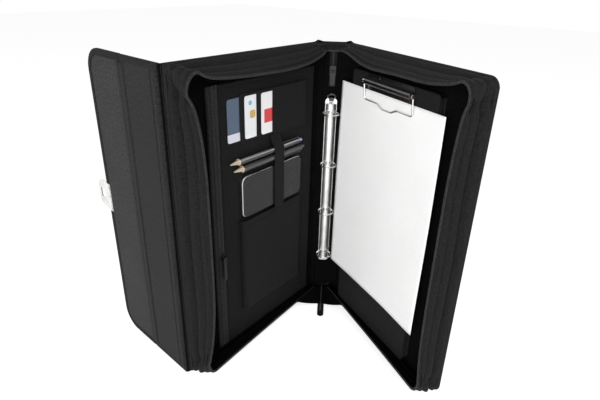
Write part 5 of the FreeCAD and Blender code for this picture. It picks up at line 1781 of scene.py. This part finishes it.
    def build_pocket(self) -> None:
        """Makes the deep open pocket.

        Its depth over the panel rises on a quarter circle from its two sides and its foot, with a slight
        belly, and its mouth is a folded hem.
        """
        box = self.plane.extent("phone_pocket")
        panel = self.plane.extent("organiser_panel")
        wide, mouth = self.pocket_round, box.z1 - self.pocket_hem
        s = spread(*box.s, wide, 5 * MM)[:, None]
        z = spread(*box.z, wide, 5 * MM, [(mouth, 0.8 * MM)])[None, :]
        inside = np.minimum(np.minimum(s - box.s0, box.s1 - s), z - box.z0)
        rise = np.sqrt(1 - (1 - np.clip(inside / wide, 0, 1)) ** 2)
        depth = box.n1 - panel.n1 - 0.6 * MM
        belly = 0.5 * MM * np.sin(math.pi * (s - box.s0) / (box.s1 - box.s0)) * np.sin(
            math.pi * (z - box.z0) / (box.z1 - box.z0))
        hem = 0.35 * MM * hill(z, mouth, 0.9 * MM)
        n = panel.n1 - 0.3 * MM + (depth + belly - hem) * rise
        cloth = Surface.grid(self.plane.at(s, n, z), np.stack(np.broadcast_arrays(s, z), axis=-1))
        made = piece("open_pocket_cloth", cloth, PANEL, self.body, ["phone_pocket"], 0.9 * MM, 60)
        cloth.area() / (box.z1 - box.z0)
        top = panel.n1 - 0.3 * MM + depth + 0.5 * MM
        rows = sewn_line(self.plane, (box.s0 + 7 * MM, top, mouth), (box.s1 - 7 * MM, top, mouth))
        piece("open_pocket_stitches", rows, THREAD, self.body)

    def build_strap(self) -> None:
        """Makes the elastic strap, a flat profile carried over the pens from panel to pocket."""
        box, pen = self.plane.extent("pen_strap"), self.plane.extent("upper_pen")
        out = box.n1 - 0.55 * MM
        knots = np.array([[out, box.z0], [out, pen.z0], [out, (pen.z0 + pen.z1) / 2 + 2 * MM],
                          [out - 1.2 * MM, pen.z1 - 1 * MM], [box.n0 + 4.0 * MM, pen.z1 + 6 * MM],
                          [box.n0 + 0.9 * MM, box.z1 - 2.5 * MM], [box.n0 + 0.7 * MM, box.z1]])
        runs = run_lengths(np.pad(knots, ((0, 0), (0, 1))))
        fine = np.linspace(0, runs[-1], 60)
        kernel = np.ones(5) / 5
        lines = [np.interp(fine, runs, knots[:, i]) for i in (0, 1)]
        eased = [np.convolve(np.pad(line, 2, mode="edge"), kernel, "valid") for line in lines]
        path = self.plane.at(box.middle, *eased)
        tangent = unit(np.gradient(path, axis=0))
        facing = np.cross(tangent, self.plane.way(1.0, 0.0, 0.0))
        strap = carried(path, facing, oval(box.s1 - box.s0, 1.0 * MM, 28, 0.3))
        piece("elastic_strap", strap, ELASTIC, self.body, ["pen_strap"])
        level, short = out + 0.5 * MM, 1.5 * MM
        rows = [sewn_line(self.plane, (box.s0 + short, level, z), (box.s1 - short, level, z), 2.6 * MM)
                for z in (box.z0 + 2.5 * MM, box.z0 + 7 * MM)]
        piece("strap_stitches", rows[0] + rows[1], THREAD, self.body)


@dataclass
class Clipboard:
    """Clipboard on the front cover: a covered board, the pleated wall behind it and the paper."""

    plane: Plane = field(default_factory=lambda: PLANES["front"])
    body: str = "front_cover"
    border: float = 5.0 * MM
    pleat: float = 2.2 * MM
    curl: float = 2.6 * MM

    def build(self) -> None:
        """Makes the board, the wall and the sheet."""
        self.build_board()
        self.build_wall()
        self.build_sheet()

    def build_board(self) -> None:
        """Makes the covered board with a sewn border."""
        box, border = self.plane.extent("clipboard_panel"), self.border
        seams_s, seams_z = ([(low + border, 0.9 * MM), (high - border, 0.9 * MM)]
                            for low, high in (box.s, box.z))
        board = Slab(self.plane, box.s, box.z, flat(box.n0), grooved(box.n1, border, 0.4 * MM),
                     5 * MM, 5 * MM, 1.4 * MM, 8 * MM, seams_s, seams_z)
        piece("clipboard_cover", board.surface(), PANEL, self.body, ["clipboard_panel"])
        rows = stitch_row(board.rim(border, box.n1 - 0.3 * MM), self.plane.face)
        piece("clipboard_stitches", rows, THREAD, self.body)

    def build_wall(self) -> None:
        """Makes the pleated wall: its path goes down one side, along the foot and up the other.

        Across its depth the wall is a sine of one and a half waves that stands in and out of the path.
        """
        box = self.plane.extent("clipboard_wall")
        inset, round_r = 2.6 * MM, 4 * MM
        turn = np.linspace(0, math.pi / 2, 8)
        s0, s1, z0 = box.s0 + inset, box.s1 - inset, box.z0 + inset
        run_z = np.linspace(box.z1, z0 + round_r, 40)
        run_s = np.linspace(s0 + round_r, s1 - round_r, 30)
        s = np.concatenate([np.full(40, s0), s0 + round_r * (1 - np.cos(turn[1:])), run_s[1:],
                            s1 - round_r + round_r * np.sin(turn[1:]), np.full(39, s1)])
        z = np.concatenate([run_z, z0 + round_r * (1 - np.sin(turn[1:])), np.full(29, z0),
                            z0 + round_r * (1 - np.cos(turn[1:])), run_z[::-1][1:]])
        way = unit(np.stack([np.gradient(s), np.gradient(z)], axis=-1))
        out_s, out_z = way[:, 1][:, None], -way[:, 0][:, None]
        v = np.linspace(0, 1, 25)[None, :]
        push = self.pleat * np.sin(3 * math.pi * v)
        n = box.n0 + 0.3 * MM + (box.n1 - box.n0 - 0.6 * MM) * v
        points = self.plane.at(s[:, None] + out_s * push, n, z[:, None] + out_z * push)
        wall = Surface.grid(points)
        made = piece("clipboard_pleats", wall, PANEL, self.body, ["clipboard_wall"], 0.7 * MM, 60)
        length = run_lengths(self.plane.at(s, 0 * s, z))[-1]
        wall.area() / length

    def build_sheet(self) -> None:
        """Makes the paper: flat under the clip, lifting a little towards its foot corner and spine side."""
        box = self.plane.extent("writing_sheet")
        s = np.linspace(box.s0, box.s1, 48)[:, None]
        z = np.linspace(box.z0, box.z1, 60)[None, :]
        across = (s - box.s0) / (box.s1 - box.s0)
        down = (box.z1 - z) / (box.z1 - box.z0)
        lift = self.curl * (0.5 * (1 - smooth(across, 0.0, 0.35)) * smooth(down, 0.05, 0.5)
                            + 0.9 * smooth(across, 0.55, 1.0) ** 2 * smooth(down, 0.3, 1.0)
                            + 0.25 * np.sin(across * 5.0) * np.sin(down * 4.0) * down)
        n = (box.n0 + box.n1) / 2 + np.maximum(lift, -0.1 * MM)
        paper = Surface.grid(self.plane.at(s, n, z), np.stack(np.broadcast_arrays(s, z), axis=-1))
        start = self.plane.at(5.8 * MM, 0.0, 0.0)
        end = self.plane.at(37.0 * MM, 0.0, 0.0)
        made = piece("paper_sheet", paper, PAPER, Bend("spine", "front_cover", start, end), ["writing_sheet"],
                     0.25 * MM, 60)


@dataclass
class Contents:
    """Cards, pens and phone, and the metal parts: CAD shapes that get their finishes."""

    plane: Plane = field(default_factory=lambda: PLANES["back"])
    dull_plates: Sequence[str] = ("ring_base", "ring_cover", "back_side_leaf", "front_side_leaf",
                                  "lock_tongue")
    # Plates whose nickel is darkened as a painted reflection of the dark cloth round them
    dark_plates: Sequence[str] = ("clip_base", "clip_rivets")
    # Lever parts whose nickel is darkened as a painted reflection
    levers: Sequence[str] = ("ring_lever", "lever_pin")

    def finishes(self) -> dict[str, Finish]:
        """Finish of each CAD node that stays in view.

        Returns:
            The finishes by node.
        """
        fold_x = self.plane.fold[0]
        cards = [("card_blue", (0.062, 0.10, 0.165), (0.74, 0.73, 0.82), CardMark.BAND),
                 ("card_sky", (0.84, 0.86, 0.88), (0.14, 0.50, 0.62), CardMark.SPOT_AND_PAD),
                 ("card_red", (0.86, 0.85, 0.86), (0.66, 0.025, 0.03), CardMark.BLOCK)]
        made: dict[str, Finish] = {}
        for i, (slot, ground, ink, mark) in enumerate(cards, 1):
            box = self.plane.extent(f"card_{i}")
            made[f"card_{i}"] = CardFace(f"card_face_{i}", slot, ground, ink, mark,
                                         box.s1, box.z0, box.z1 - box.z0)
        # Last number of each pen: strength of its painted highlight band
        pens = {"upper": ((0.07, 0.07, 0.073), (0.36, 0.38, 0.62), 1.0, "pen_black", 0.8),
                "lower": ((0.03, 0.03, 0.032), (0.07, 0.07, 0.074), 0.0, "pen_grey", 0.08)}
        for name, (barrel, button, metallic, slot, band) in pens.items():
            box = self.plane.extent(f"{name}_pen")
            made[f"{name}_pen"] = PenBody(f"{name}_pen_body", slot, barrel, button, metallic, fold_x - box.s1,
                                          button_x=fold_x - box.s0 - 7.2 * MM, band=band,
                                          band_z=0.35 * box.z0 + 0.65 * box.z1)
        box = self.plane.extent("phone")
        half = ((box.s1 - box.s0) / 2, (box.z1 - box.z0) / 2)
        made["phone"] = PhoneGlass("phone_glass_and_rim", "phone_glass",
                                   (fold_x - box.middle, sum(box.z) / 2), half)
        return made

    def build(self) -> None:
        """Gives each CAD node that stays in view its finish."""
        own = self.finishes()
        plated = ((PLATE, self.dull_plates), (CLIP_PLATE_DARK_REFLECTION, self.dark_plates), (LEVER_DARK_REFLECTION, self.levers))
        for special, nodes in plated:
            own.update(dict.fromkeys(nodes, special))
        by_slot = {"nickel": NICKEL, "spring_steel": STEEL, "zip_metal": LACQUER}
        slots = {part["node"]: part["material_slot"] for part in frame["record"]["subparts"]}
        for name, node in frame["nodes"].items():
            finish = own.get(name) or by_slot.get(slots[name])
            if finish is None:
                continue
            node.data.materials.clear()
            node.data.materials.append(finish.material())


# Studio
@dataclass
class Studio:
    """White floor and surroundings, soft lamps, and the camera."""

    eye: tuple[float, float, float] = (-0.4396, -0.4169, 0.4997)
    yaw_deg: float = 37.66
    pitch_deg: float = 25.22
    roll_deg: float = -1.61
    focal_px: float = 479.4
    frame_px: float = 600.0
    sensor_mm: float = 36.0
    floor_half: float = 6.0
    floor_below: float = 0.2 * MM
    floor_grey: float = 0.9
    floor_shown_grey: float = 0.8
    ambient: float = 0.38
    floor_glow: float = 0.66
    lamp_side: float = 1.2
    key_power: float = 40.5
    fill_power: float = 9.5

    def build(self) -> None:
        """Makes the surroundings, the floor, the lamps and the camera."""
        bpy.context.scene.view_settings.view_transform = "Standard"
        self.build_surroundings()
        self.build_floor()
        self.build_lamp("key_lamp", (-1.9, -0.75, 0.7), (0.0, -0.05, 0.2), self.key_power)
        self.build_lamp("fill_lamp", (-0.35, -1.9, 1.3), (0.0, -0.1, 0.2), self.fill_power)
        self.build_camera()

    def build_surroundings(self) -> None:
        """World that looks white to the camera and lights the rest at a plain level."""
        graph = Graph("surroundings", world=True)
        lit, shown = (graph.add("ShaderNodeBackground", {}, {"Color": WHITE, "Strength": strength})
                      for strength in (self.ambient, 1.0))
        mix = graph.add("ShaderNodeMixShader", {}, {0: graph.seen(), 1: lit, 2: shown})
        bpy.context.scene.world = graph.end(mix)

    def build_floor(self) -> None:
        """Floor whose white shows to the camera and in gloss, and which keeps the folder's shadow."""
        side = np.linspace(-self.floor_half, self.floor_half, 3)
        points = np.stack(np.broadcast_arrays(side[:, None], side[None, :], -self.floor_below), axis=-1)
        floor = bpy.data.objects.new("floor", Surface.grid(points).mesh("floor", 40))
        bpy.context.scene.collection.objects.link(floor)
        graph = Graph("floor_white")
        plain, dimmer = (graph.add("ShaderNodeBsdfDiffuse", {}, {"Color": (grey, grey, grey)})
                         for grey in (self.floor_grey, self.floor_shown_grey))
        glow = graph.add("ShaderNodeEmission", {}, {"Color": WHITE, "Strength": self.floor_glow})
        shown = graph.add("ShaderNodeAddShader", {}, {0: dimmer, 1: glow})
        mix = graph.add("ShaderNodeMixShader", {}, {0: graph.seen(), 1: plain, 2: shown})
        floor.data.materials.append(graph.end(mix))

    def build_lamp(self, name: str, place: Sequence[float], target: Sequence[float], power: float) -> None:
        """Adds a soft square lamp that faces a target.

        Args:
            name: The lamp's name.
            place: Where it stands.
            target: What it faces.
            power: Its power in watts.
        """
        lamp = bpy.data.lights.new(name, "AREA")
        lamp.size = self.lamp_side
        lamp.energy = power
        holder = bpy.data.objects.new(name, lamp)
        back = unit(np.array(place) - np.array(target))
        right = unit(np.cross(UP, back))
        axes = np.stack([right, np.cross(back, right), back], axis=1)
        pose = np.eye(4)
        pose[:3, :3] = axes
        pose[:3, 3] = place
        holder.matrix_world = Matrix(pose.tolist())
        bpy.context.scene.collection.objects.link(holder)

    def build_camera(self) -> None:
        """Camera at the photograph's viewpoint."""
        yaw, pitch, roll = (math.radians(a) for a in (self.yaw_deg, self.pitch_deg, self.roll_deg))
        ahead = np.array([math.cos(yaw), math.sin(yaw), 0.0])
        right = np.array([math.sin(yaw), -math.cos(yaw), 0.0])
        sight = math.cos(pitch) * ahead - math.sin(pitch) * UP
        down = -math.sin(pitch) * ahead - math.cos(pitch) * UP
        x = math.cos(roll) * right + math.sin(roll) * down
        y = math.sin(roll) * right - math.cos(roll) * down
        pose = np.eye(4)
        pose[:3, 0], pose[:3, 1], pose[:3, 2], pose[:3, 3] = x, y, -sight, self.eye
        camera = bpy.data.cameras.new("camera")
        camera.sensor_width = self.sensor_mm
        camera.lens = self.sensor_mm * self.focal_px / self.frame_px
        camera.clip_start = 0.01
        holder = bpy.data.objects.new("camera", camera)
        holder.matrix_world = Matrix(pose.tolist())
        bpy.context.scene.collection.objects.link(holder)
        bpy.context.scene.camera = holder


def main() -> None:
    """Builds the folder's assemblies in order, then the studio."""
    logging.basicConfig(level=logging.INFO)
    back = Cover("back", 21.0 * MM, 4.0 * MM, 8.0 * MM)
    front = Cover("front", 12.0 * MM, 13.0 * MM, 15.0 * MM, head_line=FRONT_HEAD_LINE)
    height = (0.6 * MM, back.height - 0.6 * MM)
    flap_top = PLANES["strip"].extent("strip_lining").n1
    folds = [
        Fold("back_fold", "back", "spine", ("back_cover", "spine"), height=height, peak=2.0 * MM),
        Fold("front_fold", "spine", "front", ("spine", "front_cover"), first_turned=True,
             height=height, peak=2.0 * MM),
        Fold("strip_fold", "back", "strip", ("back_cover", "wrap_strip"), first_turned=True, height=height,
             inner_depths=(1.2 * MM, 0.6 * MM), inner_starts=(2.9 * MM, 1.8 * MM)),
        # The flap fold's inner cloth takes the strip's paler copy of the outer fabric, which is painted light
        Fold("flap_fold", "strip", "flap", ("wrap_strip", "flap"), first_turned=True, height=height,
             inner_depths=(flap_top + 0.3 * MM, flap_top + 0.3 * MM), inner_starts=(3.0 * MM, 3.0 * MM),
             inner_finish=STRIP_LINING_PAINTED_LIGHT, inner_margin=8.0 * MM),
    ]
    ends = [HeadGore(back), HeadGore(front, leave_slope=0.06), FootWeb(back), FootWeb(front)]
    fittings = [Flap(), Organiser(), Clipboard(), Contents(), Studio()]
    for assembly in (back, front, Spine(), *folds, *ends, *fittings):
        assembly.build()
        LOG.info("%s built", type(assembly).__name__)


if __name__ == "__main__":
    main()
